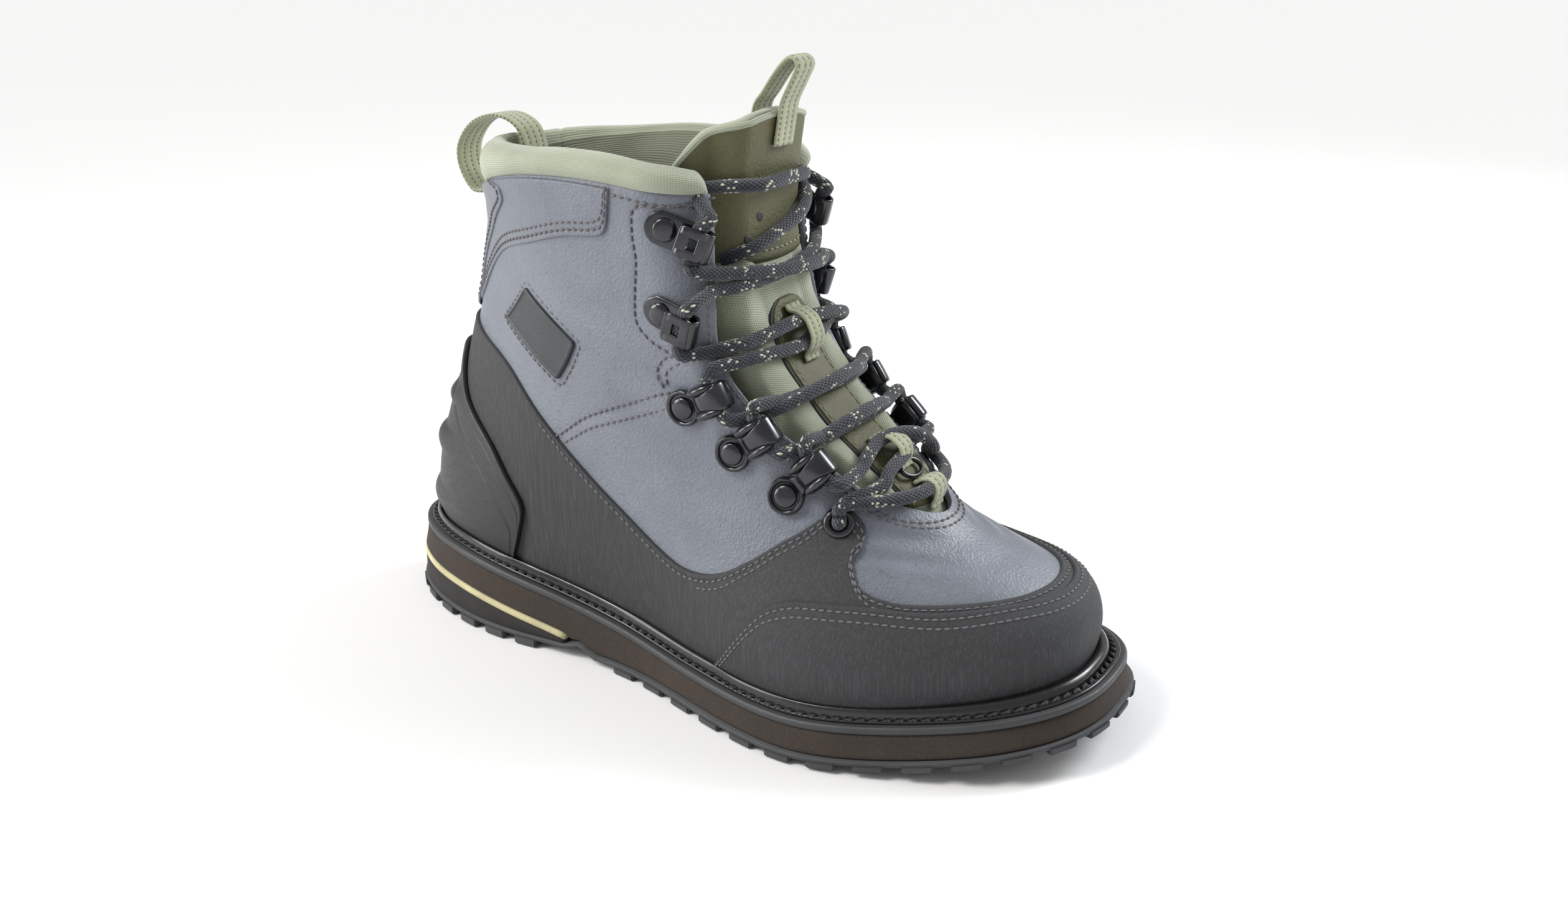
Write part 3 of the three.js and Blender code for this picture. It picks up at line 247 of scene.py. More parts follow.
def sole_table(x, column):
    """Middle (column 1) or half width (column 2) of the sole's outline at an x."""
    return follow(SOLE_TABLE[:, 0], SOLE_TABLE[:, column], 100 * x / HALF) * HALF_BALL / 100


def outline(share, side):
    """Outline point of the sole at a share of the way from heel to toe, on the side -1 outer or 1 inner."""
    x = -HALF + SOLE_LENGTH * (1 - np.cos(np.pi * share)) / 2
    width = sole_table(x, 2) * round_end(x + HALF, 0.56 * HALF, 1.8) * round_end(HALF - x, 0.4 * HALF, 2.6)
    return np.stack([x, sole_table(x, 1) + side * width], axis=-1)


def outline_ring(push, steps):
    """Closed ring of outline points with an even number of corners, pushed out by a distance."""
    shares = np.linspace(0, 1, steps + 1)
    ring = np.concatenate([outline(shares, -1), outline(shares, 1)[1:-1][::-1]])
    run = np.roll(ring, -1, axis=0) - np.roll(ring, 1, axis=0)
    run /= np.linalg.norm(run, axis=1, keepdims=True)
    return ring + push * np.stack([run[:, 1], -run[:, 0]], axis=1)


print("sole top at heel, ball and toe", [round(float(sole_top(x)), 1) for x in (-150.0, 50.0, 150.0)])

# %% [markdown]
# The level table has one row for each level: how far back and forward the ring reaches, how high its
# back, side and front stand, four half widths, and how far its two ends are rounded, all in hundredths.

# %% Upper functions
LEVELS = np.array([
    [-92.5, 91.5, 0, 0, 0, 59, 53, 86, 72, 54, 39],
    [-93, 93, 7, 7, 6.6, 60, 56, 91, 76, 53, 39],
    [-92, 92.5, 14.5, 14.5, 12, 58, 59, 89, 73, 51, 38],
    [-90.5, 90, 21, 21, 16.5, 55, 61, 83, 66, 49, 37],
    [-88, 85, 27, 26.5, 20, 52.5, 62.5, 76, 58, 47, 37],
    [-85.5, 79, 33, 32, 23, 50, 63.5, 70, 50.5, 44, 38],
    [-82.5, 72, 39, 37, 26, 47.5, 64, 64.5, 44, 42, 38],
    [-80, 65, 45.5, 42, 29.8, 46.5, 64, 60.5, 40, 40, 37],
    [-77.5, 59.5, 52, 48, 34.4, 46.5, 64, 57.5, 39, 39, 34],
    [-75, 52.5, 58.5, 54.5, 40, 47, 65, 56, 39, 38, 31.5],
    [-73, 44.5, 64, 61, 45.6, 47.5, 65.5, 56, 39, 38, 28.5],
    [-71.5, 36, 69.5, 67, 51.5, 49, 66.5, 57.5, 39, 38, 25.5],
    [-70, 28.5, 74, 73.5, 58.4, 51.5, 67, 60.5, 39, 38, 23],
    [-68.5, 22, 77.5, 79.5, 66, 55, 69, 64, 39, 38, 21],
    [-68, 18, 80, 85.5, 74.6, 58, 70.5, 67, 39, 38, 19],
    [-67.5, 15.5, 82, 90.5, 83.2, 61.5, 72, 70.5, 39, 38, 19],
    [-67.5, 14.5, 83.8, 95, 92, 64, 74, 72, 39, 38, 19],
    [-67.5, 14.5, 85, 99, 100, 65.5, 75.5, 74, 39, 38, 19],
    [-67.5, 15.5, 91, 105, 108.5, 65.5, 75.5, 74, 39, 38, 19],
    [-67.5, 17, 97, 111, 117, 65.5, 75.5, 74, 39, 38, 19]])
THROAT = np.array([[8, 0.15], [9, 0.16], [10, 0.2], [11, 0.225], [12, 0.225], [13, 0.205], [14, 0.175],
                   [15, 0.155], [16, 0.145], [17, 0.15]])


def level_values(level):
    level = np.clip(level, 0, len(LEVELS) - 1)
    stations = np.arange(len(LEVELS))
    return [follow(stations, LEVELS[:, c], level) / 100 for c in range(LEVELS.shape[1])]


def skin(level, around):
    level, around = np.broadcast_arrays(np.asarray(level, float), np.asarray(around, float))
    v = level_values(level)
    wrapped = around - 2 * np.round(around / 2 - np.sign(around) * 1e-9)
    side = np.where(wrapped < 0, 1.0, -1.0)
    along = (1 - np.cos(np.pi * np.abs(wrapped))) / 2
    rear, front = v[0] * HALF, v[1] * HALF
    x = mix(rear, front, along)
    stations = np.array([-1, -0.7, -0.16, 0.4, 0.76, 1]) * HALF
    widths = np.stack([v[5], v[5], v[6], v[7], v[8], v[8] * 0.85], axis=-1)
    front_power = 2.5 - 0.4 * ease(level / TOP_LEVEL * 1.6)
    width = follow(stations, widths, x) * HALF_BALL
    width = width * round_end(x - rear, v[9] * HALF, 1.9) * round_end(front - x, v[10] * HALF, front_power)
    centre = sole_table(x, 1)
    fade = 1 - 0.75 * ease(level / TOP_LEVEL * 1.3)
    lift = v[2] * (1 - along) * (1 - 2 * along) + 4 * v[3] * along * (1 - along)
    lift = lift + v[4] * along * (2 * along - 1)
    return np.stack([x, centre * fade + side * width, sole_top(x) + GAP + lift * UPPER_HEIGHT], axis=-1)


def skin_normal(level, around):
    level, around = np.broadcast_arrays(np.asarray(level, float), np.asarray(around, float))
    up_step, side_step = 0.15, 0.012
    rise = skin(np.minimum(level + up_step, 19), around) - skin(np.maximum(level - up_step, 0), around)
    near = np.abs(around) < side_step
    ahead = np.where(near, side_step, around + side_step)
    behind = np.where(near, -side_step, around - side_step)
    run = skin(level, ahead) - skin(level, behind)
    normal = np.cross(run, rise)
    return normal / np.linalg.norm(normal, axis=-1, keepdims=True)


def shell(level, around, push):
    """Point pushed out from the upper's outer face, or in with a negative distance, never into the sole."""
    point = skin(level, around) + skin_normal(level, around) * np.asarray(push, float)[..., None]
    point[..., 2] = np.maximum(point[..., 2], sole_top(point[..., 0]) + GAP)
    return point


def throat_edge(level):
    opening = np.interp(level, THROAT[:, 0], THROAT[:, 1])
    rounding = np.sqrt(np.clip((level - THROAT_LEVEL) / 0.9, 0, 1))
    return np.where(level <= THROAT_LEVEL, 1.0, 1 - opening * rounding)


def fold(around):
    """Place on the outer side that lies opposite a place on the inner one."""
    return np.where(around > 1, 2 - around, np.abs(around))


def ring_places(steps):
    """Places all the way round, from the heel along the outer side and back along the inner one."""
    around = np.arange(2 * steps) / steps
    return np.where(around > 1, around - 2, around)


print("toe at level 0", skin(0, 1.0).round(1), "collar back", skin(17, 0.0).round(1))

# %% [markdown]
# ## Mesh builders
# A grid of points becomes a mesh with a UV map in centimetres, so that weave and ribs keep their size.
# Sheets close an outer and an inner grid with rims, and faces are turned outwards by the sign of the
# volume.

# %% Builders
pieces = []
WELD_DISTANCE = 0.00001


def make(name, points, quads, uvs, extra=()):
    """Mesh of four-cornered faces with UVs and some extra faces, all turned outwards by the volume's sign."""
    points = np.asarray(points, float).reshape(-1, 3) + [0, SIDE_SHIFT, 0]
    quads, uvs = np.asarray(quads, int).reshape(-1, 4), np.asarray(uvs, float).reshape(-1, 4, 2)
    fans = [[(face[0], face[k], face[k + 1])] for face in extra for k in range(1, len(face) - 1)]
    triangles = [quads[:, [0, 1, 2]], quads[:, [0, 2, 3]]] + [np.array(fan) for fan in fans]
    a, b, c = (points[np.concatenate(triangles)[:, k]] for k in range(3))
    extra = [list(face) for face in extra]
    if np.einsum("ij,ij->", a, np.cross(b, c)) < 0:
        quads, uvs, extra = quads[:, ::-1], uvs[:, ::-1], [face[::-1] for face in extra]
    mesh = bpy.data.meshes.new(name)
    mesh.from_pydata((points * MM).tolist(), [], quads.tolist() + extra)
    flat = [(points[k, :2] / 10).tolist() for face in extra for k in face]
    layer = mesh.uv_layers.new(name="cm")
    layer.data.foreach_set("uv", np.concatenate([uvs.ravel(), np.array(flat, float).ravel()]))
    mesh.polygons.foreach_set("use_smooth", [True] * len(mesh.polygons))
    return add(name, mesh)


def grid_uv(points, loop):
    """UV in centimetres along the columns and the rows of a grid."""
    wide = np.concatenate([points, points[:, :1]], axis=1) if loop else points
    across = np.linalg.norm(np.diff(wide, axis=1), axis=2).mean(axis=0)
    down = np.linalg.norm(np.diff(wide, axis=0), axis=2).mean(axis=1)
    u = np.concatenate([[0], np.cumsum(across)]) / 10
    v = np.concatenate([[0], np.cumsum(down)]) / 10
    return np.stack(np.broadcast_arrays(u[None, :], v[:, None]), axis=-1)


def grid_faces(grid_shape, loop, uv):
    """Corner numbers of the faces of a grid, and the UV of each corner."""
    rows, columns = grid_shape
    i, j = np.meshgrid(np.arange(rows - 1), np.arange(columns if loop else columns - 1), indexing="ij")
    k = (j + 1) % columns
    first, second = i * columns + j, i * columns + k
    corners = np.stack([first, second, second + columns, first + columns], axis=-1)
    places = np.stack([i, j, i, j + 1, i + 1, j + 1, i + 1, j], axis=-1).reshape(-1, 4, 2)
    return corners.reshape(-1, 4), uv[places[..., 0], places[..., 1]]


def sheet(name, outer, inner, closed_rows=0):
    """Closed sheet between two grids. The side rims leave out the first closed rows."""
    rows, columns = outer.shape[:2]
    count = rows * columns
    uv = grid_uv(outer, False)
    front, front_uv = grid_faces((rows, columns), False, uv)
    quads, uvs = [front, count + front[:, ::-1]], [front_uv, front_uv[:, ::-1]]
    numbers = np.arange(count).reshape(rows, columns)
    first_side, last_side = numbers[closed_rows:, 0], numbers[closed_rows:, -1][::-1]
    rims = [(numbers[0][::-1], uv[0][::-1]), (numbers[-1], uv[-1]), (first_side, uv[closed_rows:, 0]),
            (last_side, uv[closed_rows:, -1][::-1])]
    for line, uv_line in rims:
        a, b = line[:-1], line[1:]
        quads.append(np.stack([a, b, count + b, count + a], axis=-1))
        uvs.append(np.stack([uv_line[:-1], uv_line[1:], uv_line[1:], uv_line[:-1]], axis=1))
    points = np.concatenate([outer.reshape(-1, 3), inner.reshape(-1, 3)])
    made = make(name, points, np.concatenate(quads), np.concatenate(uvs))
    if closed_rows:
        weld(made)
    return made


def weld(obj):
    """Joins points that lie in the same place."""
    mesh = bmesh.new()
    mesh.from_mesh(obj.data)
    bmesh.ops.remove_doubles(mesh, verts=mesh.verts, dist=WELD_DISTANCE)
    mesh.to_mesh(obj.data)
    mesh.free()


def loft(name, sections, closed=False):
    """Skin over sections with the same number of corners, with UV along their row and round each."""
    sections = np.asarray(sections, float)
    rows, corners = sections.shape[:2]
    wide = np.concatenate([sections, sections[:1]]) if closed else sections
    quads, uvs = grid_faces((len(wide), corners), True, grid_uv(wide, True)[..., ::-1])
    caps = [] if closed else [list(range(corners))[::-1], list(range((rows - 1) * corners, rows * corners))]
    return make(name, sections, quads % (rows * corners), uvs, caps)


def smooth_path(points, count):
    """Even points on a smooth curve through the given points."""
    points = np.asarray(points, float)
    steps = np.concatenate([[0], np.cumsum(np.linalg.norm(np.diff(points, axis=0), axis=1) ** 0.7)])
    curve = curve_through(steps, points, np.linspace(0, steps[-1], 12 * len(points)))
    run = run_along(curve)
    return pick(np.linspace(0, run[-1], count), run, curve)


def frames_along(path, hint):
    """Unit across and out at each point of a path, with across as close to the hint as it can be."""
    run = np.gradient(path, axis=0)
    run /= np.linalg.norm(run, axis=1, keepdims=True)
    out = np.cross(np.broadcast_to(np.array(hint, float), path.shape), run)
    out /= np.linalg.norm(out, axis=1, keepdims=True)
    return np.cross(run, out), out


def tube(name, path, radius, sides):
    """Round tube along a path. The radius may be one value or one for each point."""
    across, out = frames_along(path, (0, 0, 1))
    angle = circle(sides)
    radius = np.broadcast_to(radius, len(path))
    ring = across[:, None] * np.cos(angle)[None, :, None] + out[:, None] * np.sin(angle)[None, :, None]
    return loft(name, path[:, None] + ring * radius[:, None, None])


def dress(obj, finish, nodes=()):
    """Gives a finished piece its material, its place on the body and the nodes it stands for."""
    obj.data.materials.clear()
    obj.data.materials.append(finish)
    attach(obj, "root")
    if nodes:
        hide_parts(*nodes)
    pieces.append(obj)
    return obj


def merge(name, objects):
    """One object from several meshes."""
    mesh = bmesh.new()
    for obj in objects:
        mesh.from_mesh(obj.data)
        bpy.data.objects.remove(obj)
    data = bpy.data.meshes.new(name)
    mesh.to_mesh(data)
    mesh.free()
    return add(name, data)


print("builders ready")

# %% [markdown]
# ## Materials
# Every finish is made of nodes: grain or weave gives the bump, and slow noise gives the uneven colour of
# a worn or moulded surface. `Finish` keeps the node wiring short.

# %% Material helper
SLOW_SPAN = (0.3, 0.7)


class Finish:
    """One material with its node tree and short calls for the nodes that the finishes share."""

    def __init__(self, name, color, rough, metal=0.0):
        self.material = bpy.data.materials.new(name)
        self.material.use_nodes = True
        self.tree = self.material.node_tree
        self.shader = self.tree.nodes["Principled BSDF"]
        self.tune("Base Color", (*color, 1))
        self.tune("Roughness", rough)
        self.tune("Metallic", metal)
        self.last_bump = None
        self.spot = self.node("ShaderNodeTexCoord").outputs["Object"]

    def node(self, kind, inputs=None, **settings):
        made = self.tree.nodes.new(kind)
        for key, value in settings.items():
            setattr(made, key, value)
        for key, value in (inputs or {}).items():
            socket = made.inputs[key]
            if isinstance(value, bpy.types.NodeSocket):
                self.tree.links.new(value, socket)
            else:
                socket.default_value = value
        return made

    def tune(self, label, value):
        self.shader.inputs[label].default_value = value

    def uv(self):
        """The two UV values, in centimetres."""
        place = self.node("ShaderNodeTexCoord").outputs["UV"]
        parts = self.node("ShaderNodeSeparateXYZ", {0: place}).outputs
        return parts[0], parts[1]

    def scaled(self, vector, scale, turn=(0, 0, 0)):
        inputs = {"Vector": vector, "Scale": scale, "Rotation": turn}
        return self.node("ShaderNodeMapping", inputs).outputs["Vector"]

    def noise(self, vector, scale, detail=3.0, rough=0.5):
        inputs = {"Vector": vector, "Scale": scale, "Detail": detail, "Roughness": rough}
        return self.node("ShaderNodeTexNoise", inputs).outputs["Fac"]

    def cells(self, vector, scale, feature="F1"):
        inputs = {"Vector": vector, "Scale": scale}
        return self.node("ShaderNodeTexVoronoi", inputs, feature=feature).outputs["Distance"]

    def math(self, operation, a, b=0.0, c=0.0):
        return self.node("ShaderNodeMath", {0: a, 1: b, 2: c}, operation=operation).outputs[0]

    def times(self, a, b):
        return self.math("MULTIPLY", a, b)

    def ridges(self, value):
        """Row of rounded ridges, one for each half turn of the value."""
        return self.math("ABSOLUTE", self.math("SINE", value))

    def span(self, value, low, high, to_low=0.0, to_high=1.0):
        inputs = {"Value": value, "From Min": low, "From Max": high, "To Min": to_low, "To Max": to_high}
        return self.node("ShaderNodeMapRange", inputs).outputs["Result"]

    def blend(self, share, a, b):
        inputs = {0: share, 6: a if isinstance(a, bpy.types.NodeSocket) else (*a[:3], 1),
                  7: b if isinstance(b, bpy.types.NodeSocket) else (*b[:3], 1)}
        return self.node("ShaderNodeMix", inputs, data_type="RGBA").outputs[2]

    def shade(self, noise, color, low, high):
        """Colour between a darker and a lighter tone, led by a noise."""
        return self.blend(self.span(noise, *SLOW_SPAN), darker(color, low), darker(color, high))

    def bump(self, height, depth_mm, strength):
        inputs = {"Height": height, "Distance": depth_mm * MM, "Strength": strength}
        if self.last_bump is not None:
            inputs["Normal"] = self.last_bump
        self.last_bump = self.node("ShaderNodeBump", inputs).outputs["Normal"]
        self.tree.links.new(self.last_bump, self.shader.inputs["Normal"])

    def paint(self, color):
        self.tree.links.new(color, self.shader.inputs["Base Color"])

    def roughen(self, value):
        self.tree.links.new(value, self.shader.inputs["Roughness"])


def darker(color, share):
    return tuple(c * share for c in color)


print("material helper ready")

# %% [markdown]
# These finishes lie in space and need no UV map: pores, brush lines, flecks and scuffs are all noise.

# %% Leather, brushed rubber, foam and plain rubber
def grained_leather(name, color, rough, cell=1150):
    f = Finish(name, color, rough)
    slow = f.noise(f.spot, 26, 4, 0.6)
    pores = f.noise(f.spot, 520, 2)
    tone = f.shade(slow, color, 0.86, 1.16)
    f.paint(f.blend(f.span(pores, 0.56, 0.72, 0, 0.35), tone, darker(color, 0.6)))
    f.roughen(f.span(slow, *SLOW_SPAN, rough - 0.05, rough + 0.09))
    f.bump(f.cells(f.spot, cell, "SMOOTH_F1"), 0.3, 0.7)
    f.bump(f.noise(f.spot, cell * 1.7, 4), 0.1, 0.5)
    f.bump(f.noise(f.spot, 130, 3), 0.35, 0.35)
    return f.material


def brushed_rubber(name, color):
    """Dark rubber with fine pale brush lines, most of them upright."""
    rough = 0.72
    f = Finish(name, color, rough)
    upright = f.noise(f.scaled(f.spot, (1600, 1600, 32), (0.05, 0.08, 0)), 1.0, 4, 0.7)
    level = f.noise(f.scaled(f.spot, (70, 70, 1500), (0.1, -0.06, 0.3)), 1.0, 3, 0.6)
    slow = f.noise(f.spot, 30, 4, 0.6)
    lines = f.math("MAXIMUM", f.span(upright, 0.46, 0.7), f.times(f.span(level, 0.55, 0.8), 0.3))
    f.paint(f.blend(f.times(lines, 0.62), f.shade(slow, color, 0.75, 1.05), darker(color, 2.5)))
    f.roughen(f.span(slow, *SLOW_SPAN, rough - 0.06, rough + 0.06))
    f.bump(upright, 0.4, 0.8)
    f.bump(level, 0.22, 0.5)
    f.bump(f.noise(f.spot, 1400, 2), 0.06, 0.5)
    return f.material


def foam(name, color, fleck, rough, flecks):
    f = Finish(name, color, rough)
    specks = f.noise(f.spot, 2300, 2)
    tone = f.shade(f.noise(f.spot, 60, 3), color, 0.85, 1.15)
    f.paint(f.blend(f.span(specks, 0.58, 0.72, 0, flecks), tone, fleck))
    f.bump(f.noise(f.spot, 1500, 3), 0.18, 0.6)
    f.bump(f.cells(f.spot, 700), 0.12, 0.4)
    return f.material


def moulded(name, color, rough, grain):
    f = Finish(name, color, rough)
    scuffs = f.noise(f.scaled(f.spot, (300, 300, 900)), 1.0, 4, 0.7)
    tone = f.shade(f.noise(f.spot, 45, 4), color, 0.88, 1.15)
    f.paint(f.blend(f.span(scuffs, 0.6, 0.8, 0, 0.3), tone, darker(color, 1.9)))
    f.roughen(f.span(scuffs, 0.35, 0.75, rough - 0.06, rough + 0.12))
    f.bump(f.noise(f.spot, 900, 3), grain, 0.5)
    return f.material


print("leather, rubber and foam ready")

# %% [markdown]
# Knit and woven tape follow the piece's own UV map in centimetres: small ribs one way and smaller threads
# across them. The lace is a braid, so its cells lie on two slanted families of lines, with a few pale
# cells.

# %% Knit, webbing, thread, lace and metal
def knit(name, color, rib, thread, depth):
    """Knit with ribs and threads, both counted for each centimetre, with painted shade where it lies low."""
    f = Finish(name, color, 0.92)
    u, v = f.uv()
    drift = f.times(f.noise(f.spot, 160, 2), 0.12)
    ribs = f.ridges(f.times(f.math("ADD", v, drift), math.pi * rib))
    loops = f.ridges(f.math("MULTIPLY_ADD", u, math.pi * thread, ribs))
    height = f.math("MULTIPLY_ADD", ribs, 0.7, f.times(loops, 0.45))
    tone = f.shade(f.noise(f.spot, 35, 3), color, 0.9, 1.1)
    # painted shade: the knit is coloured darker where it lies low between its ribs and loops
    f.paint(f.blend(f.span(height, 0.15, 0.75), darker(color, 0.55), tone))
    f.bump(height, depth, 0.8)
    f.tune("Sheen Weight", 0.35)
    f.tune("Sheen Roughness", 0.5)
    return f.material


def webbing(name, color):
    """Tape with ridges along it, slots between them and a fine slanted weave, with painted shade in the slots
    and in the weave's grooves.
    """
    f = Finish(name, color, 0.88)
    u, v = f.uv()
    ridge = f.ridges(f.times(v, math.pi * 5.5 / 2.0))
    dash = f.math("GREATER_THAN", f.math("SINE", f.times(u, math.pi * 2 * 5.2)), -0.15)
    gap = f.times(f.math("LESS_THAN", ridge, 0.36), dash)
    twill = f.ridges(f.math("MULTIPLY_ADD", u, 44.0, f.times(v, 30)))
    tone = f.shade(f.noise(f.spot, 90, 3), color, 0.85, 1.15)
    # painted shade: the twill's grooves and the slots between the ridges are coloured darker
    woven = f.blend(f.times(f.math("SUBTRACT", 1.0, twill), 0.45), tone, darker(color, 0.5))
    f.paint(f.blend(f.times(gap, 0.85), woven, darker(color, 0.2)))
    f.bump(f.math("MULTIPLY_ADD", ridge, 0.8, f.times(twill, 0.3)), 0.45, 0.9)
    f.bump(f.math("SUBTRACT", 1.0, gap), 0.3, 0.6)
    f.tune("Sheen Weight", 0.3)
    return f.material


def braid(name, color, fleck):
    """Round lace whose cells lie between two slanted families of lines, with painted shade in the grooves and
    painted highlight on the crests.
    """
    f = Finish(name, color, 0.85)
    u, v = f.uv()
    round_lace = 2 * math.pi * 0.25
    a, b = (f.math("MULTIPLY_ADD", u, 5.2, f.times(v, turns / round_lace)) for turns in (11, -11))
    height = f.times(f.ridges(f.times(a, math.pi)), f.ridges(f.times(b, math.pi)))
    cell = f.node("ShaderNodeCombineXYZ", {0: f.math("FLOOR", a), 1: f.math("FLOOR", b), 2: 7.0}).outputs[0]
    chance = f.node("ShaderNodeTexWhiteNoise", {"Vector": cell}, noise_dimensions="3D").outputs["Value"]
    bands = f.math("SINE", f.times(u, 4.3))
    chosen = f.math("GREATER_THAN", f.math("MULTIPLY_ADD", bands, 0.16, chance), 0.93)
    pale = f.times(chosen, f.math("GREATER_THAN", height, 0.22))
    # painted shade and highlight: the braid is coloured darker in the grooves between its cells and lighter
    # on their crests
    tone = f.blend(f.span(height, 0.0, 0.7), darker(color, 0.35), darker(color, 1.5))
    f.paint(f.blend(pale, tone, fleck))
    f.bump(height, 0.5, 0.9)
    f.bump(f.noise(f.spot, 2500, 2), 0.08, 0.5)
    f.tune("Sheen Weight", 0.25)
    return f.material


def thread(name, color):
    f = Finish(name, color, 0.7)
    f.bump(f.noise(f.scaled(f.spot, (2600, 2600, 2600)), 1.0, 2), 0.12, 0.6)
    f.paint(f.blend(f.noise(f.spot, 900, 2), darker(color, 0.7), darker(color, 1.2)))
    return f.material


def gunmetal(name, color, rough):
    f = Finish(name, color, rough, 0.85)
    slow = f.noise(f.spot, 120, 4)
    f.roughen(f.span(slow, *SLOW_SPAN, rough - 0.07, rough + 0.12))
    f.paint(f.shade(slow, color, 0.8, 1.3))
    f.bump(f.noise(f.spot, 1800, 2), 0.02, 0.4)
    f.tune("Coat Weight", 0.4)
    f.tune("Coat Roughness", 0.15)
    return f.material


SLATE = grained_leather("slate_leather", (0.134, 0.148, 0.176), 0.43)
CHARCOAL = brushed_rubber("charcoal_rubber", (0.026, 0.027, 0.029))
# the toe cap gets a slightly darker copy of the rand's rubber; the darkening is painted shade of the cap's
# front
CAP_RUBBER_DARKENED_AS_SHADE = brushed_rubber("toe_cap_rubber", (0.024, 0.025, 0.027))
OLIVE = grained_leather("olive_leather", (0.084, 0.082, 0.035), 0.62, 1000)
OUTSOLE = moulded("outsole_rubber", (0.040, 0.041, 0.044), 0.7, 0.12)
EVA = foam("midsole_foam", (0.027, 0.019, 0.014), (0.10, 0.08, 0.07), 0.9, 0.4)
STRIPE = foam("stripe_foam", (0.47, 0.43, 0.25), (0.6, 0.56, 0.38), 0.9, 0.4)
WEDGE = foam("wedge_foam", (0.017, 0.016, 0.015), (0.06, 0.055, 0.05), 0.92, 0.3)
SLIP = moulded("slip_sole_rubber", (0.03, 0.031, 0.033), 0.55, 0.06)
WELT = moulded("welt_rubber", (0.010, 0.010, 0.011), 0.24, 0.03)
COUNTER = moulded("counter_plastic", (0.0085, 0.009, 0.010), 0.5, 0.02)
BADGE = moulded("badge_plastic", (0.022, 0.027, 0.031), 0.5, 0.05)
COLLAR = knit("collar_knit", (0.35, 0.38, 0.28), 12, 12, 0.26)
LINING = knit("lining_knit", (0.215, 0.232, 0.165), 8, 14, 0.4)
TONGUE = knit("tongue_knit", (0.36, 0.39, 0.285), 12, 12, 0.3)
SOCK = knit("insole_knit", (0.05, 0.055, 0.045), 8, 8, 0.3)
TAPE = webbing("sage_webbing", (0.33, 0.35, 0.225))
LACE = braid("braided_lace", (0.013, 0.0165, 0.026), (0.5, 0.53, 0.4))
METAL = gunmetal("black_metal", (0.035, 0.036, 0.04), 0.22)
# the grey thread is set darker than the thread itself: beyond its own grey, the darkening is painted shade of
# the stitch holes and the gaps between stitches
SHADE_DARKENED_GREY_THREAD = thread("grey_thread", (0.125, 0.113, 0.12))
RAND_THREAD = thread("rand_thread", (0.115, 0.115, 0.12))
OLIVE_THREAD = thread("olive_thread", (0.25, 0.26, 0.15))
WELT_THREAD = thread("welt_thread", (0.014, 0.014, 0.015))
# dark finish for the strip's edging, and as painted shade for the discs that stand for the panel's holes
DARK_EDGING_AND_HOLE_SHADE = moulded("dark_edge", (0.015, 0.016, 0.018), 0.6, 0.03)
print(len(bpy.data.materials), "materials")

# %% [markdown]
# ## Stitches
# A stitch is a short fat thread that dips into the leather at both ends. One Geometry Nodes tree
# resamples a seam at the stitch pitch, puts a small rounded stitch on each point, and turns it along the
# seam.

# %% Stitch tree
def stitch_tree():
    tree = bpy.data.node_groups.new("stitches", "GeometryNodeTree")
    face = tree.interface
    face.new_socket("Seam", in_out="INPUT", socket_type="NodeSocketGeometry")
    for label, value in (("Pitch", 0.0036), ("Length", 0.0029), ("Thread", 0.0009), ("Slant", 0.0)):
        socket = face.new_socket(label, in_out="INPUT", socket_type="NodeSocketFloat")
        socket.default_value = value
    face.new_socket("Finish", in_out="INPUT", socket_type="NodeSocketMaterial")
    face.new_socket("Stitches", in_out="OUTPUT", socket_type="NodeSocketGeometry")
    new, link = tree.nodes.new, tree.links.new
    source, result = new("NodeGroupInput"), new("NodeGroupOutput")
    resample = new("GeometryNodeResampleCurve")
    resample.mode = "LENGTH"
    link(source.outputs["Seam"], resample.inputs["Curve"])
    link(source.outputs["Pitch"], resample.inputs["Length"])
    ball = new("GeometryNodeMeshUVSphere")
    ball.inputs["Segments"].default_value = 8
    ball.inputs["Rings"].default_value = 6
    ball.inputs["Radius"].default_value = 0.5
    size = new("ShaderNodeCombineXYZ")
    link(source.outputs["Length"], size.inputs["X"])
    link(source.outputs["Thread"], size.inputs["Y"])
    link(source.outputs["Thread"], size.inputs["Z"])
    tangent = new("GeometryNodeInputTangent")
    aim = new("FunctionNodeAlignRotationToVector")
    aim.axis = "X"
    link(tangent.outputs[0], aim.inputs["Vector"])
    angles, slant = new("ShaderNodeCombineXYZ"), new("FunctionNodeEulerToRotation")
    link(source.outputs["Slant"], angles.inputs["Z"])
    link(angles.outputs[0], slant.inputs[0])
    lean = new("FunctionNodeRotateRotation")
    lean.rotation_space = "LOCAL"
    link(aim.outputs[0], lean.inputs[0])
    link(slant.outputs[0], lean.inputs[1])
    place = new("GeometryNodeInstanceOnPoints")
    link(resample.outputs["Curve"], place.inputs["Points"])
    link(ball.outputs["Mesh"], place.inputs["Instance"])
    link(lean.outputs[0], place.inputs["Rotation"])
    link(size.outputs[0], place.inputs["Scale"])
    real, paint = new("GeometryNodeRealizeInstances"), new("GeometryNodeSetMaterial")
    link(place.outputs["Instances"], real.inputs["Geometry"])
    link(real.outputs["Geometry"], paint.inputs["Geometry"])
    link(source.outputs["Finish"], paint.inputs["Material"])
    link(paint.outputs["Geometry"], result.inputs["Stitches"])
    return tree


STITCHES = stitch_tree()


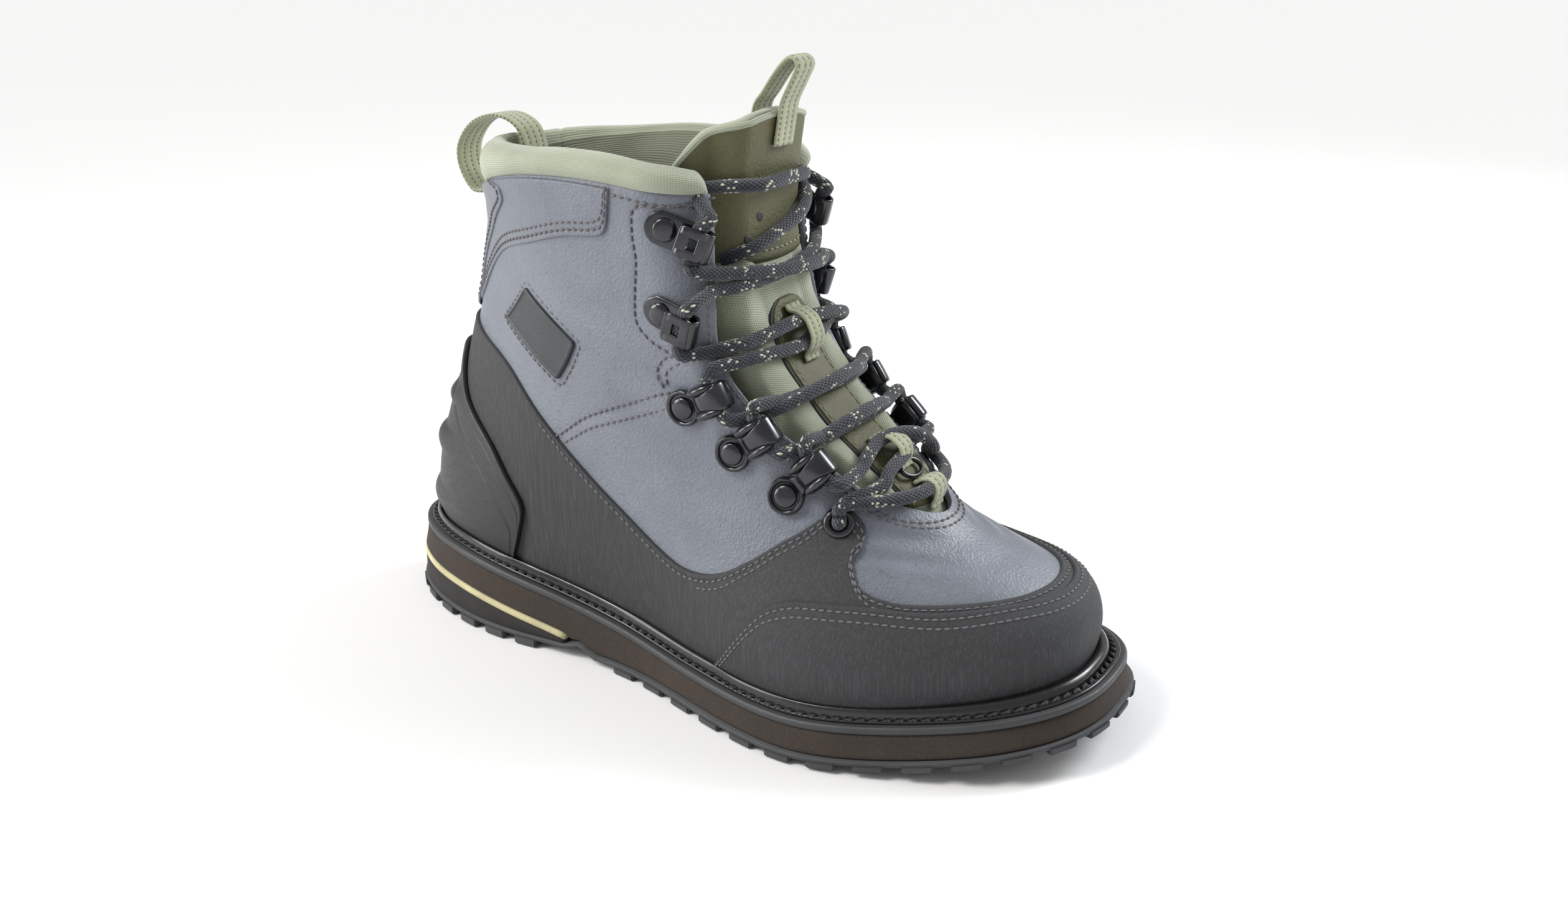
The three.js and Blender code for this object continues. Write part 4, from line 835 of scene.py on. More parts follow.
def stitch(name, paths, finish, slot, pitch, length, thick, slant=0.0, closed=False):
    """Stitches along seams given as lists of points in millimetres, kept as a plain mesh."""
    curve = bpy.data.curves.new(name + "_seam", "CURVE")
    curve.dimensions = "3D"
    for path in paths:
        spline = curve.splines.new("POLY")
        spline.points.add(len(path) - 1)
        shifted = (np.asarray(path) + [0, SIDE_SHIFT, 0]) * MM
        spline.points.foreach_set("co", np.concatenate([shifted, np.ones((len(path), 1))], axis=1).ravel())
        spline.use_cyclic_u = closed
    seam = add(name, curve)
    modifier = seam.modifiers.new("repeat", "NODES")
    modifier.node_group = STITCHES
    keys = {s.name: s.identifier for s in STITCHES.interface.items_tree if s.in_out == "INPUT"}
    settings = {"Pitch": pitch * MM, "Length": length * MM, "Thread": thick * MM}
    settings.update({"Slant": slant, "Finish": finish})
    for label, value in settings.items():
        modifier[keys[label]] = value
    mesh = bpy.data.meshes.new_from_object(seam.evaluated_get(bpy.context.evaluated_depsgraph_get()))
    bpy.data.objects.remove(seam)
    mesh.polygons.foreach_set("use_smooth", [True] * len(mesh.polygons))
    print(name, len(mesh.polygons), "faces")
    return dress(add(name, mesh), finish)


print("stitches ready")

# %% [markdown]
# ## Overlays
# Rand, toe cap, patches and panels are sheets sewn onto the upper. Each is drawn between two lines of
# (around, level) places. Rows crowd towards a free edge, where the sheet rounds off and a seam groove
# runs.

# %% Patch builder
NEAR_EDGE = np.array([0, 0.15, 0.4, 0.8, 1.4, 1.9, 2.2, 2.5, 2.8, 3.1, 3.6, 4.6])
PLACE_SCALE = [160, 10]
FAR_AWAY = 99.0
SEAM_LIFT = 0.05


def place_stations(points):
    """Stations for a smooth curve through places, from rough distances in millimetres."""
    gaps = np.linalg.norm(np.diff(points, axis=0) * PLACE_SCALE, axis=1)
    return np.concatenate([[0], np.cumsum(gaps**0.8)])


def even_places(points, count):
    """Even run of places (around, level) on a smooth curve, measured on the upper in millimetres."""
    points = np.asarray(points, float)
    stations = place_stations(points)
    curve = curve_through(stations, points, np.linspace(0, stations[-1], 40 * len(points)))
    run = run_along(skin(curve[:, 1], curve[:, 0]))
    return pick(np.linspace(0, run[-1], count), run, curve)


def spread(length, free_start, free_end, step):
    """Distances along a length, crowded at free ends."""
    scale = min(1.0, length / (2.2 * NEAR_EDGE[-1]))
    start = NEAR_EDGE * scale if free_start else np.array([0.0])
    end = length - (NEAR_EDGE * scale)[::-1] if free_end else np.array([length])
    count = max(2, int((end[0] - start[-1]) / step) + 1)
    middle = np.linspace(start[-1], end[0], count + 1)[1:-1]
    return np.concatenate([start, middle, end])


def edge_profile(distance, thick, groove):
    """Height of a sheet near its free edge, rounded off at the edge and pressed in along the seam."""
    round_off = np.sqrt(np.clip(1 - (1 - np.clip(distance / 0.8, 0, 1)) ** 2, 0, 1))
    return thick * (0.3 + 0.7 * round_off) - groove * hump(distance, 2.5, 0.4)


class Patch:
    """Sheet on the upper between lines of (around, level) places, from a first line to a foot.
    All lines have as many places. free names the free sides: e first, f foot, s start and t end."""

    def __init__(self, lines, base, thick, free="e", step=1.3, groove=0.18, relief=None):
        lines = np.asarray(lines, float)
        stations = place_stations(lines[0])
        fine = np.linspace(0, stations[-1], 40 * len(stations))
        edge = curve_through(stations, lines[0], fine)
        run = run_along(skin(edge[:, 1], edge[:, 0]))
        along = spread(run[-1], "s" in free, "t" in free, step)
        lines = np.stack([curve_through(stations, line, np.interp(along, run, fine)) for line in lines])
        self.base, self.thick = base, thick
        self.marks = np.linspace(0, len(lines) - 1, 12 * (len(lines) - 1) + 1)
        before = np.minimum(self.marks.astype(int), len(lines) - 2)
        share = (self.marks - before)[:, None, None]
        self.path = lines[before] * (1 - share) + lines[before + 1] * share
        spots = skin(self.path[..., 1], self.path[..., 0])
        steps = np.linalg.norm(np.diff(spots, axis=0), axis=2)
        self.runs = np.concatenate([np.zeros((1, len(along))), np.cumsum(steps, axis=0)])
        total = self.runs[-1]
        rows = spread(total.max(), "e" in free, "f" in free, step)
        head = len(NEAR_EDGE) if "e" in free else 1
        tail = len(NEAR_EDGE) if "f" in free else 1
        near = np.minimum(1, total / (2.2 * NEAR_EDGE[-1]))
        first = rows[:head, None] * near
        final = total - (rows[-1] - rows[-tail:, None]) * near
        share = np.linspace(0, 1, len(rows) - head - tail + 2)[1:-1, None]
        distance = np.concatenate([first, first[-1] * (1 - share) + final[0] * share, final])
        grid = self.at(distance)
        away = np.full(distance.shape, FAR_AWAY)
        reaches = {"e": distance, "f": total - distance, "s": along[None], "t": run[-1] - along[None]}
        for side in free:
            away = np.minimum(away, reaches[side])
        height = edge_profile(away, thick, groove)
        if relief is not None:
            height = height + relief(grid[..., 1], grid[..., 0], away)
        self.outer = shell(grid[..., 1], grid[..., 0], base + height)
        self.inner = shell(grid[..., 1], grid[..., 0], np.full(height.shape, float(base)))

    def at(self, distance):
        """Places at distances in millimetres from the first line, one column for each of its points."""
        columns = range(distance.shape[1])
        marks = np.stack([np.interp(distance[:, j], self.runs[:, j], self.marks) for j in columns], axis=1)
        return np.stack([pick(marks[:, j], self.marks, self.path[:, j]) for j in columns], axis=1)

    def build(self, name, finish, nodes=()):
        print(name, self.outer.shape[:2])
        return dress(sheet(name, self.outer, self.inner), finish, nodes)

    def seam(self, distance, start=0.0, end=1.0):
        """Path on the sheet's face at a distance from the first line, between two shares of its length."""
        places = self.at(np.full((1, self.path.shape[1]), float(distance)))[0]
        places = places[int(start * len(places)):int(math.ceil(end * len(places)))]
        return shell(places[:, 1], places[:, 0], np.full(len(places), self.base + self.thick + SEAM_LIFT))


def place_path(points, count, push):
    places = even_places(points, count)
    return shell(places[:, 1], places[:, 0], np.full(len(places), float(push)))


def at_level(level, *arounds):
    """Places at one level."""
    return [(around, level) for around in arounds]


def back_to_front(points):
    """A run from the heel forward, begun on the inner side and led round the heel."""
    return [(-around, level) for around, level in points[:0:-1]] + list(points)


def both_sides(points):
    """The same run of places on the outer and on the inner side."""
    return [points, [(-around, level) for around, level in points]]


def around_toe(points):
    """A run on the outer side carried on over the toe and back along the inner side."""
    return list(points) + [(2 - around, level) for around, level in points[::-1] if around < 0.999]


print("patch builder ready")

# %% [markdown]
# ## Floor and sole
# The boot stands on a plain pale floor. The sole is a stack of slabs that all follow one outline: outsole
# plate, foam wedge and stripe under the heel, foam midsole, grey slip sole, and on top the welt with its
# stitched groove.

# %% Floor
floor_mesh = bpy.data.meshes.new("floor")
FLOOR_HALF = 60
floor_corners = [(x * FLOOR_HALF, y * FLOOR_HALF, 0) for x, y in ((-1, -1), (1, -1), (1, 1), (-1, 1))]
floor_mesh.from_pydata(floor_corners, [], [(0, 1, 2, 3)])
floor = add("floor", floor_mesh)
floor.location.z = -0.0002
floor.data.materials.append(Finish("floor_paint", (0.82, 0.82, 0.82), 0.65).material)
print("floor ready")

# %% [markdown]
# Each slab is a stack of rings round the outline. The heel's wedge and stripe end at the breast.

# %% Slabs
SLAB_STEPS, CUT_STEPS = 110, 60
SLIP_THICK, STRIPE_THICK = 3.0, 2.8


def cut_at(line, x):
    """Part of an outline half from the heel to a given x, with its points evenly spread."""
    numbers = np.arange(len(line))
    return pick(np.linspace(0, np.interp(x, line[:, 0], numbers), CUT_STEPS), numbers, line)


def slab_mesh(name, rows, end=None):
    """Stack of outline rings, each a push and a height function, closed below and above."""
    rings = []
    for push, height in rows:
        ring = outline_ring(push, SLAB_STEPS)
        outer, inner = ring[:SLAB_STEPS + 1], np.concatenate([ring[:1], ring[SLAB_STEPS:][::-1]])
        if end is not None:
            outer, inner = cut_at(outer, end), cut_at(inner, end)
        ring = np.concatenate([outer, (inner[1:] if end is not None else inner[1:-1])[::-1]])
        rings.append(np.column_stack([ring, height(ring[:, 0])]))
    grid = np.stack(rings)
    count, half = grid.shape[1], len(outer)
    quads, uvs = grid_faces(grid.shape[:2], True, grid_uv(grid, True))
    partner = [0] + [(count - i) % count for i in range(1, half)]
    caps = []
    for row, upward in ((0, False), (len(rings) - 1, True)):
        for i in range(half - 1):
            face = [row * count + k for k in dict.fromkeys([i, i + 1, partner[i + 1], partner[i]])]
            caps.append(face if upward else face[::-1])
    return make(name, grid, quads, uvs, caps)


def slab(name, finish, rows, end=None):
    return dress(slab_mesh(name, rows, end), finish, [name])


def raised(height, by):
    """A height function raised by a distance in millimetres."""
    return lambda x: height(x) + by


def stripe_top(x):
    return sole_top(x) - HEEL_DROP - GAP


def stripe_bottom(x):
    return stripe_top(x) - STRIPE_THICK


def midsole_top(x):
    return sole_top(x) - SLIP_THICK


def in_midsole(share):
    """Height at a share of the way up through the midsole."""
    return lambda x: mix(midsole_bottom(x), midsole_top(x), share)


slab("midsole", EVA, [
    (2.2, midsole_bottom), (3.0, raised(midsole_bottom, 0.15)), (3.25, raised(midsole_bottom, 0.7)),
    (2.9, in_midsole(0.2)), (2.2, in_midsole(0.45)), (1.6, in_midsole(0.75)),
    (1.1, raised(midsole_top, -0.4)), (0.5, midsole_top)])
slab("slip_sole", SLIP, [
    (0.4, raised(midsole_top, 0.05)), (1.3, raised(midsole_top, 0.15)), (1.6, raised(midsole_top, 0.7)),
    (1.5, raised(sole_top, -0.9)), (1.1, raised(sole_top, -0.3)), (0.3, sole_top)])
slab("heel_stripe", STRIPE, [
    (3.0, stripe_bottom), (3.7, raised(stripe_bottom, 0.3)), (3.7, raised(stripe_top, -0.3)),
    (3.0, stripe_top)], BREAST)
slab("heel_wedge", WEDGE, [
    (3.0, raised(outsole_top, 0.1)), (3.9, raised(outsole_top, 0.5)), (3.6, raised(stripe_bottom, -0.6)),
    (3.1, raised(stripe_bottom, -0.1))], BREAST)
print("slabs ready")

# %% [markdown]
# The outsole is a thin plate with lugs. Edge lugs follow the outline, with a step under the arch where
# the heel ends, and rows of slanted blocks fill the tread. All blocks get softened edges.

# %% Outsole
LUG_OUT, LUG_DEEP, LUG_PITCH, LUG_LONG, LUG_SINK = 5.3, 11.0, 17.0, 11.0, 1.0
TREAD_START, TREAD_END, TREAD_STEP, TREAD_INSET, TREAD_PITCH = -134.0, 146.0, 15.0, 10.5, 17


def outsole_bottom(x):
    return outsole_top(x) - PLATE


plate = slab_mesh("plate", [
    (3.4, outsole_bottom), (4.6, raised(outsole_bottom, 0.3)), (4.7, raised(outsole_top, -0.5)),
    (4.3, outsole_top)])


def block(ring, lift=0.0):
    """Corners of a lug over a floor outline, from the ground up into the plate."""
    ring = np.asarray(ring, float)
    low = np.column_stack([ring, ground(ring[:, 0]) + lift])
    high = np.column_stack([ring, outsole_bottom(ring[:, 0]) + LUG_SINK])
    return low, high


def edge_blocks():
    """Lugs along the whole outline, a little narrower inwards, with none under the arch."""
    outer, inner = (np.vstack([ring, ring[:1]]) for ring in (
        outline_ring(LUG_OUT, 700), outline_ring(LUG_OUT - LUG_DEEP, 700)))
    run = run_along(outer)
    count = int(round(run[-1] / LUG_PITCH))
    blocks = []
    for k in range(count):
        at = (k + 0.2) * run[-1] / count + np.linspace(0, LUG_LONG, 5)
        face, inset = pick(at, run, outer), pick(at, run, inner)
        if BREAST - 7 < face[2, 0] < ARCH_END + 6:
            continue
        inset = inset[2] + (inset - inset[2]) * 0.8
        blocks.append(block(np.vstack([face, inset[::-1]])))
    return blocks


def tread_blocks():
    """Slanted blocks on a slightly turned grid, kept well inside the outline and off the arch."""
    blocks = []
    ring = outline_ring(-TREAD_INSET, 300)
    for i, x in enumerate(np.arange(TREAD_START, TREAD_END, TREAD_STEP)):
        if BREAST - 12 < x < ARCH_END + 12:
            continue
        near = ring[np.abs(ring[:, 0] - x) < 3]
        low, high = near[:, 1].min(), near[:, 1].max()
        if high - low < 24:
            continue
        for j, y in enumerate(np.linspace(low + 7, high - 7, max(2, int((high - low) / TREAD_PITCH)))):
            slant = 2.4 if (i + j) % 2 else -2.4
            corners = [(-4.6 - slant, -6), (4.6 - slant, -6), (4.6 + slant, 6), (-4.6 + slant, 6)]
            blocks.append(block([(x + dx, y + dy) for dx, dy in corners], 0.4 if i % 3 else 0.0))
    return blocks


def block_mesh(name, blocks, soft):
    """One mesh of lugs, with every sharp edge softened by a distance."""
    mesh = bmesh.new()
    for low, high in blocks:
        lows = [mesh.verts.new(Vector(p + np.array([0, SIDE_SHIFT, 0])) * MM) for p in low]
        highs = [mesh.verts.new(Vector(p + np.array([0, SIDE_SHIFT, 0])) * MM) for p in high]
        mesh.faces.new(lows[::-1])
        mesh.faces.new(highs)
        for k in range(len(lows)):
            m = (k + 1) % len(lows)
            mesh.faces.new((lows[k], lows[m], highs[m], highs[k]))
    bmesh.ops.recalc_face_normals(mesh, faces=mesh.faces)
    edges = [e for e in mesh.edges if e.calc_face_angle(0) > 0.5]
    bmesh.ops.bevel(mesh, geom=edges, offset=soft * MM, segments=2, affect="EDGES", clamp_overlap=True)
    data = bpy.data.meshes.new(name)
    mesh.to_mesh(data)
    mesh.free()
    return add(name, data)


lugs = block_mesh("lugs", edge_blocks() + tread_blocks(), 0.6)
outsole = merge("outsole", [plate, lugs])
dress(outsole, OUTSOLE, ["outsole"])
print("outsole", len(outsole.data.polygons), "faces")

# %% [markdown]
# The welt is a flat ledge, a groove for the stitches and a glossy rolled bead against the overlays.

# %% Welt
RAND_OUT, CAP_OUT, COUNTER_OUT = 1.5, 2.9, 3.2
WELT_STEPS = 200


def overlay_face(around):
    """How far the lowest overlay stands out from the upper."""
    share = fold(around)
    return mix(mix(COUNTER_OUT, RAND_OUT, ease((share - 0.3) / 0.04)), CAP_OUT, ease((share - 0.55) / 0.03))


def welt_places(across, rise):
    """Ring of points on the welt, from its outer edge to the face of the overlays."""
    edge, around = outline_ring(-0.9, WELT_STEPS), ring_places(WELT_STEPS)
    wall = shell(np.full(len(around), 0.45), around, overlay_face(around) + 0.2)
    xy = mix(edge, wall[:, :2], across)
    return np.column_stack([xy, sole_top(xy[:, 0]) + rise])


WELT_ROWS = [(0, 0.05), (0.0, 0.7), (0.04, 1.1), (0.12, 1.2), (0.2, 1.1), (0.24, 0.7), (0.33, 0.55),
             (0.43, 0.7), (0.46, 1.5), (0.5, 2.7), (0.57, 3.8), (0.67, 4.5), (0.78, 4.8), (0.89, 4.6),
             (0.98, 3.9), (1.07, 2.8), (1.12, 0.1)]
welt_sections = np.stack([welt_places(across, rise) for across, rise in WELT_ROWS], axis=1)
dress(loft("welt", welt_sections, closed=True), WELT, ["welt"])
WELT_PITCH = 4.5
stitch("welt_stitches", [welt_places(0.33, 1.15)], WELT_THREAD, "welt", WELT_PITCH, length=4.6, thick=1.35,
       slant=0.42, closed=True)
stitch("welt_links", [welt_places(0.31, 1.0)], WELT_THREAD, "welt", WELT_PITCH, length=2.7, thick=1.6,
       slant=-0.75, closed=True)

# %% [markdown]
# ## Upper
# One hollow leather wall. Small creases lie where the ankle and the toes bend, and seam lines are pressed
# in.

# %% Upper wall
SEAM_LINES = {
    "quarter": [(0.373, 5.9), (0.435, 7.7), (0.552, 9.7), (0.64, 10.75), (0.731, 11.75)],
    "quarter_low": [(0.38, 5.7), (0.442, 7.4), (0.557, 9.35), (0.645, 10.4), (0.734, 11.4)],
    "eyestay": [(0.854, 16.9), (0.76, 16.6), (0.688, 16.4), (0.67, 15.6), (0.662, 14.6), (0.63, 13.4),
                (0.6, 12.3), (0.612, 11.95), (0.64, 11.9)],
    "tab": [(0.773, 13.03), (0.722, 12.6), (0.663, 12.0), (0.623, 11.52), (0.597, 11.04), (0.583, 10.6),
            (0.582, 10.35)],
    "tab_inner": [(0.766, 12.75), (0.683, 11.98), (0.632, 11.37), (0.608, 10.96), (0.597, 10.6)],
}


def line_distance(level, around, points):
    """Distance in millimetres, near enough, from places on the upper to a line of places."""
    line = even_places(points, 70)
    best = np.full(level.shape, FAR_AWAY)
    share = fold(around)
    for a, b in line:
        best = np.minimum(best, np.hypot((share - a) * 150, (level - b) * PLACE_SCALE[1]))
    return best


def creases(level, around):
    """Soft folds at the ankle and across the instep, the same on both sides but not quite alike."""
    share = fold(around)
    turn = np.where(around < 0, 0.7, 0.0)
    ankle = hump(level, 10.6, 2.2) * hump(share, 0.56, 0.16)
    instep = hump(level, 6.6, 1.3) * hump(share, 0.80, 0.13)
    slow = np.sin(2.2 * level + 11 * share + turn) * 0.5 + np.sin(3.7 * level - 17 * share + 1.3 + turn) * 0.3
    fine = np.sin(7.9 * level + 9 * share + 2 * np.sin(9 * share + turn)) * 0.22
    toe_folds = np.sin(5.2 * level + 14 * share + turn) + 0.6 * fine
    return 0.5 * ankle * (slow + fine) + 0.42 * instep * toe_folds


def wall_relief(level, around):
    """Creases, pressed seam lines and a slight swell at the back of the ankle."""
    height = creases(level, around)
    for name in ("quarter", "eyestay", "tab"):
        height -= 0.34 * hump(line_distance(level, around, SEAM_LINES[name]), 0, 0.8)
    return height + 0.5 * hump(level, 12.2, 2.4) * hump(fold(around), 0.3, 0.2)


WALL_LEVELS = np.concatenate([
    np.arange(0, 4, 0.4), np.arange(4, 8, 0.17), [8, 8.008, 8.03, 8.07, 8.12, 8.2, 8.3],
    np.arange(8.45, 17, 0.15), [17]])
CLOSED = int(np.searchsorted(WALL_LEVELS, THROAT_LEVEL))
wall_share = np.linspace(-1, 1, 331)
wall_level, wall_around = np.meshgrid(WALL_LEVELS, wall_share, indexing="ij")
wall_around = wall_around * throat_edge(wall_level)
wall = sheet("upper", shell(wall_level, wall_around, wall_relief(wall_level, wall_around)),
             shell(wall_level, wall_around, np.full(wall_level.shape, -WALL)), closed_rows=CLOSED)
dress(wall, SLATE, ["upper"])
wall.data.materials.append(LINING)
outer_faces = (len(WALL_LEVELS) - 1) * (len(wall_share) - 1)
for face in wall.data.polygons[outer_faces:2 * outer_faces]:
    face.material_index = 1
print("upper", len(wall.data.polygons), "faces")

# %% [markdown]
# A thin insole lies on the slip sole, a little smaller than the inside of the wall.

# %% Insole
INSOLE_ROWS = [(0.98, 0.3), (1.0, 1.0), (1.0, 3.4), (0.985, 4.2), (0.9, 4.4)]
insole_places = ring_places(80)
insole_edge = shell(np.zeros(160), insole_places, np.full(160, -WALL - 1.0))[:, :2]
insole_middle = insole_edge.mean(axis=0)
insole_rings = []
for share, rise in INSOLE_ROWS:
    xy = insole_middle + (insole_edge - insole_middle) * share
    insole_rings.append(np.column_stack([xy, sole_top(xy[:, 0]) + rise]))
insole = loft("insole", np.stack(insole_rings))
dress(insole, SOCK, ["insole"])
print("insole", len(insole.data.polygons), "faces")

# %% [markdown]
# Rand, toe cap, counter, heel patch and back strip overlap like shingles, from the heel patch outwards.

# %% Rand and toe cap
OVERLAP = 0.2
RAND_ROWS = [
    # edge around, edge level, middle around, middle level, foot around
    (0.0, 8.4, 0.0, 3.9, 0.0), (0.087, 8.3, 0.087, 3.9, 0.087), (0.18, 8.0, 0.18, 3.9, 0.18),
    (0.285, 7.5, 0.285, 3.7, 0.285), (0.365, 6.07, 0.365, 3.2, 0.365), (0.445, 4.44, 0.445, 2.4, 0.445),
    (0.511, 3.16, 0.511, 1.7, 0.511), (0.551, 3.3, 0.551, 1.8, 0.551), (0.6, 4.4, 0.575, 2.4, 0.575),
    (0.66, 5.93, 0.60, 3.2, 0.60), (0.735, 7.5, 0.625, 3.6, 0.625), (0.765, 8.05, 0.638, 3.7, 0.638),
    (0.79, 8.05, 0.65, 3.75, 0.65), (0.79, 7.3, 0.663, 3.75, 0.663), (0.748, 6.4, 0.68, 3.75, 0.68),
    (0.72, 4.95, 0.705, 3.4, 0.705), (0.723, 4.35, 0.718, 3.2, 0.718), (0.745, 4.0, 0.742, 2.6, 0.742),
    (0.774, 3.9, 0.774, 2.2, 0.774), (0.835, 3.9, 0.835, 2.2, 0.835), (0.9, 3.95, 0.9, 2.2, 0.9),
    (0.95, 4.0, 0.95, 2.2, 0.95), (1.0, 4.0, 1.0, 2.2, 1.0)]
rand_lines = [around_toe([(r[0], r[1]) for r in RAND_ROWS]), around_toe([(r[2], r[3]) for r in RAND_ROWS]),
              around_toe([(r[4], 0.0) for r in RAND_ROWS])]
rand = Patch(rand_lines, base=-0.3, thick=RAND_OUT + 0.3)
rand.build("rand", CHARCOAL, ["rand"])

CAP_PLACES = [(0.555, 0.3), (0.572, 1.1), (0.589, 1.9), (0.605, 2.6), (0.621, 3.1), (0.647, 3.5),
              (0.68, 3.65), (0.715, 3.7), (0.781, 3.5), (0.871, 3.6), (0.94, 3.55), (1.0, 3.5)]
CAP_FEET = at_level(0.0, 0.555, 0.565, 0.577, 0.59, 0.605, 0.63, 0.66, 0.70, 0.781, 0.871, 0.94, 1.0)
cap = Patch([around_toe(CAP_PLACES), around_toe(CAP_FEET)], RAND_OUT - OVERLAP, CAP_OUT - RAND_OUT + OVERLAP)
cap.build("toe_cap", CAP_RUBBER_DARKENED_AS_SHADE, ["toe_cap"])

# %% [markdown]
# The counter is a moulded part with cross ribs at the back and a raised rim.

# %% Counter
COUNTER_HALF = [(0.0, 7.15), (0.05, 7.15), (0.085, 6.95), (0.13, 6.1), (0.18, 5.35), (0.263, 4.2),
                (0.305, 3.1), (0.326, 2.35), (0.322, 1.3), (0.312, 0.4)]
COUNTER_FEET = at_level(0.0, 0.0, 0.04, 0.08, 0.12, 0.17, 0.225, 0.265, 0.288, 0.3, 0.31)


def counter_relief(level, around, away):
    """Cross ribs at the back, a raised rim and a shallow line inside it."""
    rib = np.maximum(0, np.sin((level - 0.45) * np.pi * 0.95)) ** 0.8 * 2.3
    back = 1 - ease((np.abs(around) - 0.07) / 0.12)
    fade = 1 - ease((level - 4.7) / 1.0)
    rim = 0.7 * (1 - ease((away - 3.2) / 1.2)) - 0.5 * hump(away, 4.6, 0.5)
    facet = -0.45 * hump(away, 14.0, 0.7)
    return rib * back * fade + rim + facet


counter = Patch([back_to_front(COUNTER_HALF), back_to_front(COUNTER_FEET)], RAND_OUT - OVERLAP,
                COUNTER_OUT - RAND_OUT + OVERLAP, free="est", step=1.2, groove=0.0, relief=counter_relief)
counter.build("heel_counter", COUNTER, ["heel_counter"])

# %% [markdown]
# The heel patch reaches up to the collar, with a strip over its back.

# %% Heel patch and back strip
PATCH_LOW = [(0.0, 8.6), (0.1, 9.0), (0.182, 10.4), (0.28, 12.0), (0.406, 13.3), (0.5, 14.2),
             (0.569, 14.72), (0.594, 14.98), (0.609, 15.4), (0.619, 16.0), (0.629, 16.8)]
PATCH_HIGH = at_level(16.8, 0.0, 0.1, 0.182, 0.28, 0.406, 0.5, 0.56, 0.59, 0.605, 0.615) + [(0.622, 16.81)]
heel_patch = Patch([back_to_front(PATCH_LOW), back_to_front(PATCH_HIGH)], base=-0.3, thick=1.4)
heel_patch.build("heel_patch", SLATE, ["heel_patch"])
STRIP = [(0.285, 16.85), (0.315, 16.3), (0.33, 15.7), (0.325, 15.0), (0.29, 14.2), (0.25, 13.4),
         (0.2, 12.2), (0.15, 11.0), (0.115, 10.0), (0.085, 8.8)]
STRIP_TOP = at_level(16.86, 0.0, *(0.28 * (k + 1) / 10 for k in range(10)))
strip_edge = back_to_front([(0.0, 8.4)] + STRIP[::-1])[::-1]
back_strip = Patch([strip_edge, back_to_front(STRIP_TOP)[::-1]], base=0.9, thick=1.0)
back_strip.build("back_strip", SLATE)

# %% [markdown]
# The badge plate stays bare: a flat plate with a raised edge.

# %% Badge plate
BADGE_CORNERS = np.array([[[0.272, 9.27], [0.385, 8.25]], [[0.346, 11.07], [0.436, 10.05]]])
BADGE_STEPS, BADGE_BASE = 45, -0.2


def badge_grid(push_of_away, grow=0.0, radius=1.4):
    """Grid over the badge with rounded corners, pushed out by a function of the distance to its edge."""
    spots = skin(BADGE_CORNERS[..., 1], BADGE_CORNERS[..., 0])
    tall = np.linalg.norm(spots[1, 0] - spots[0, 0]) / 2
    wide = np.linalg.norm(spots[0, 1] - spots[0, 0]) / 2
    lines = [np.concatenate([-half + NEAR_EDGE * 0.6, np.linspace(-half + 3.2, half - 3.2, BADGE_STEPS - 24),
                             half - NEAR_EDGE[::-1] * 0.6]) for half in (tall, wide)]
    y, x = np.meshgrid(*lines, indexing="ij")
    away = np.minimum(tall - np.abs(y), wide - np.abs(x))
    a = np.maximum(np.abs(y) - (tall - radius), 0)
    b = np.maximum(np.abs(x) - (wide - radius), 0)
    pull = np.where((a > 0) & (b > 0), np.maximum(a, b) / np.maximum(np.hypot(a, b), 1e-9), 1.0)
    y = np.sign(y) * (np.minimum(np.abs(y), tall - radius) + a * pull) * (1 + grow / tall)
    x = np.sign(x) * (np.minimum(np.abs(x), wide - radius) + b * pull) * (1 + grow / wide)
    up_share, share = ((y / tall + 1) / 2)[..., None], ((x / wide + 1) / 2)[..., None]
    low, high = (mix(first, second, share) for first, second in BADGE_CORNERS)
    place = mix(low, high, up_share)
    return shell(place[..., 1], place[..., 0], push_of_away(away))


def badge_height(away):
    """Plate with a rounded edge and a slightly sunk middle."""
    return BADGE_BASE + edge_profile(away, 1.9, 0) - 0.45 * ease((away - 1.4) / 0.5)


badge_back = badge_grid(lambda away: np.full(away.shape, BADGE_BASE))
badge = sheet("badge_plate", badge_grid(badge_height), badge_back)
dress(badge, BADGE, ["badge_plate"])
print("badge plate", len(badge.data.polygons), "faces")

# %% [markdown]
# ## Collar
# The padded collar rolls over the upper's top edge and goes down inside as a lining. Its section is a
# smooth curve through a few points, softened by slow waves along the roll, with a seam pressed in along
# the inner top.

# %% Collar
COLLAR_THICK, COLLAR_PLAY, COLLAR_RISE, COLLAR_BACK_RISE = 12.0, 0.9, 9.0, 20.0
COLLAR_SECTION = np.array([[0.1, -0.02], [1.7, 0.22], [2.3, 0.45], [1.6, 0.72], [-1.2, 0.95], [-4.6, 1.04],
                           [-7.6, 1.0], [-9.4, 0.86], [-10.3, 0.62]])
# points in a section, in its rolled part and for its middle, and the row of the section with the seam
COLLAR_POINTS, ROLL_POINTS, MIDDLE_POINTS, SEAM_ROW = 64, 24, 40, 7


def collar_thick(share):
    return mix(COLLAR_THICK, COLLAR_THICK * 0.45, ease((share - 0.45) / 0.4))


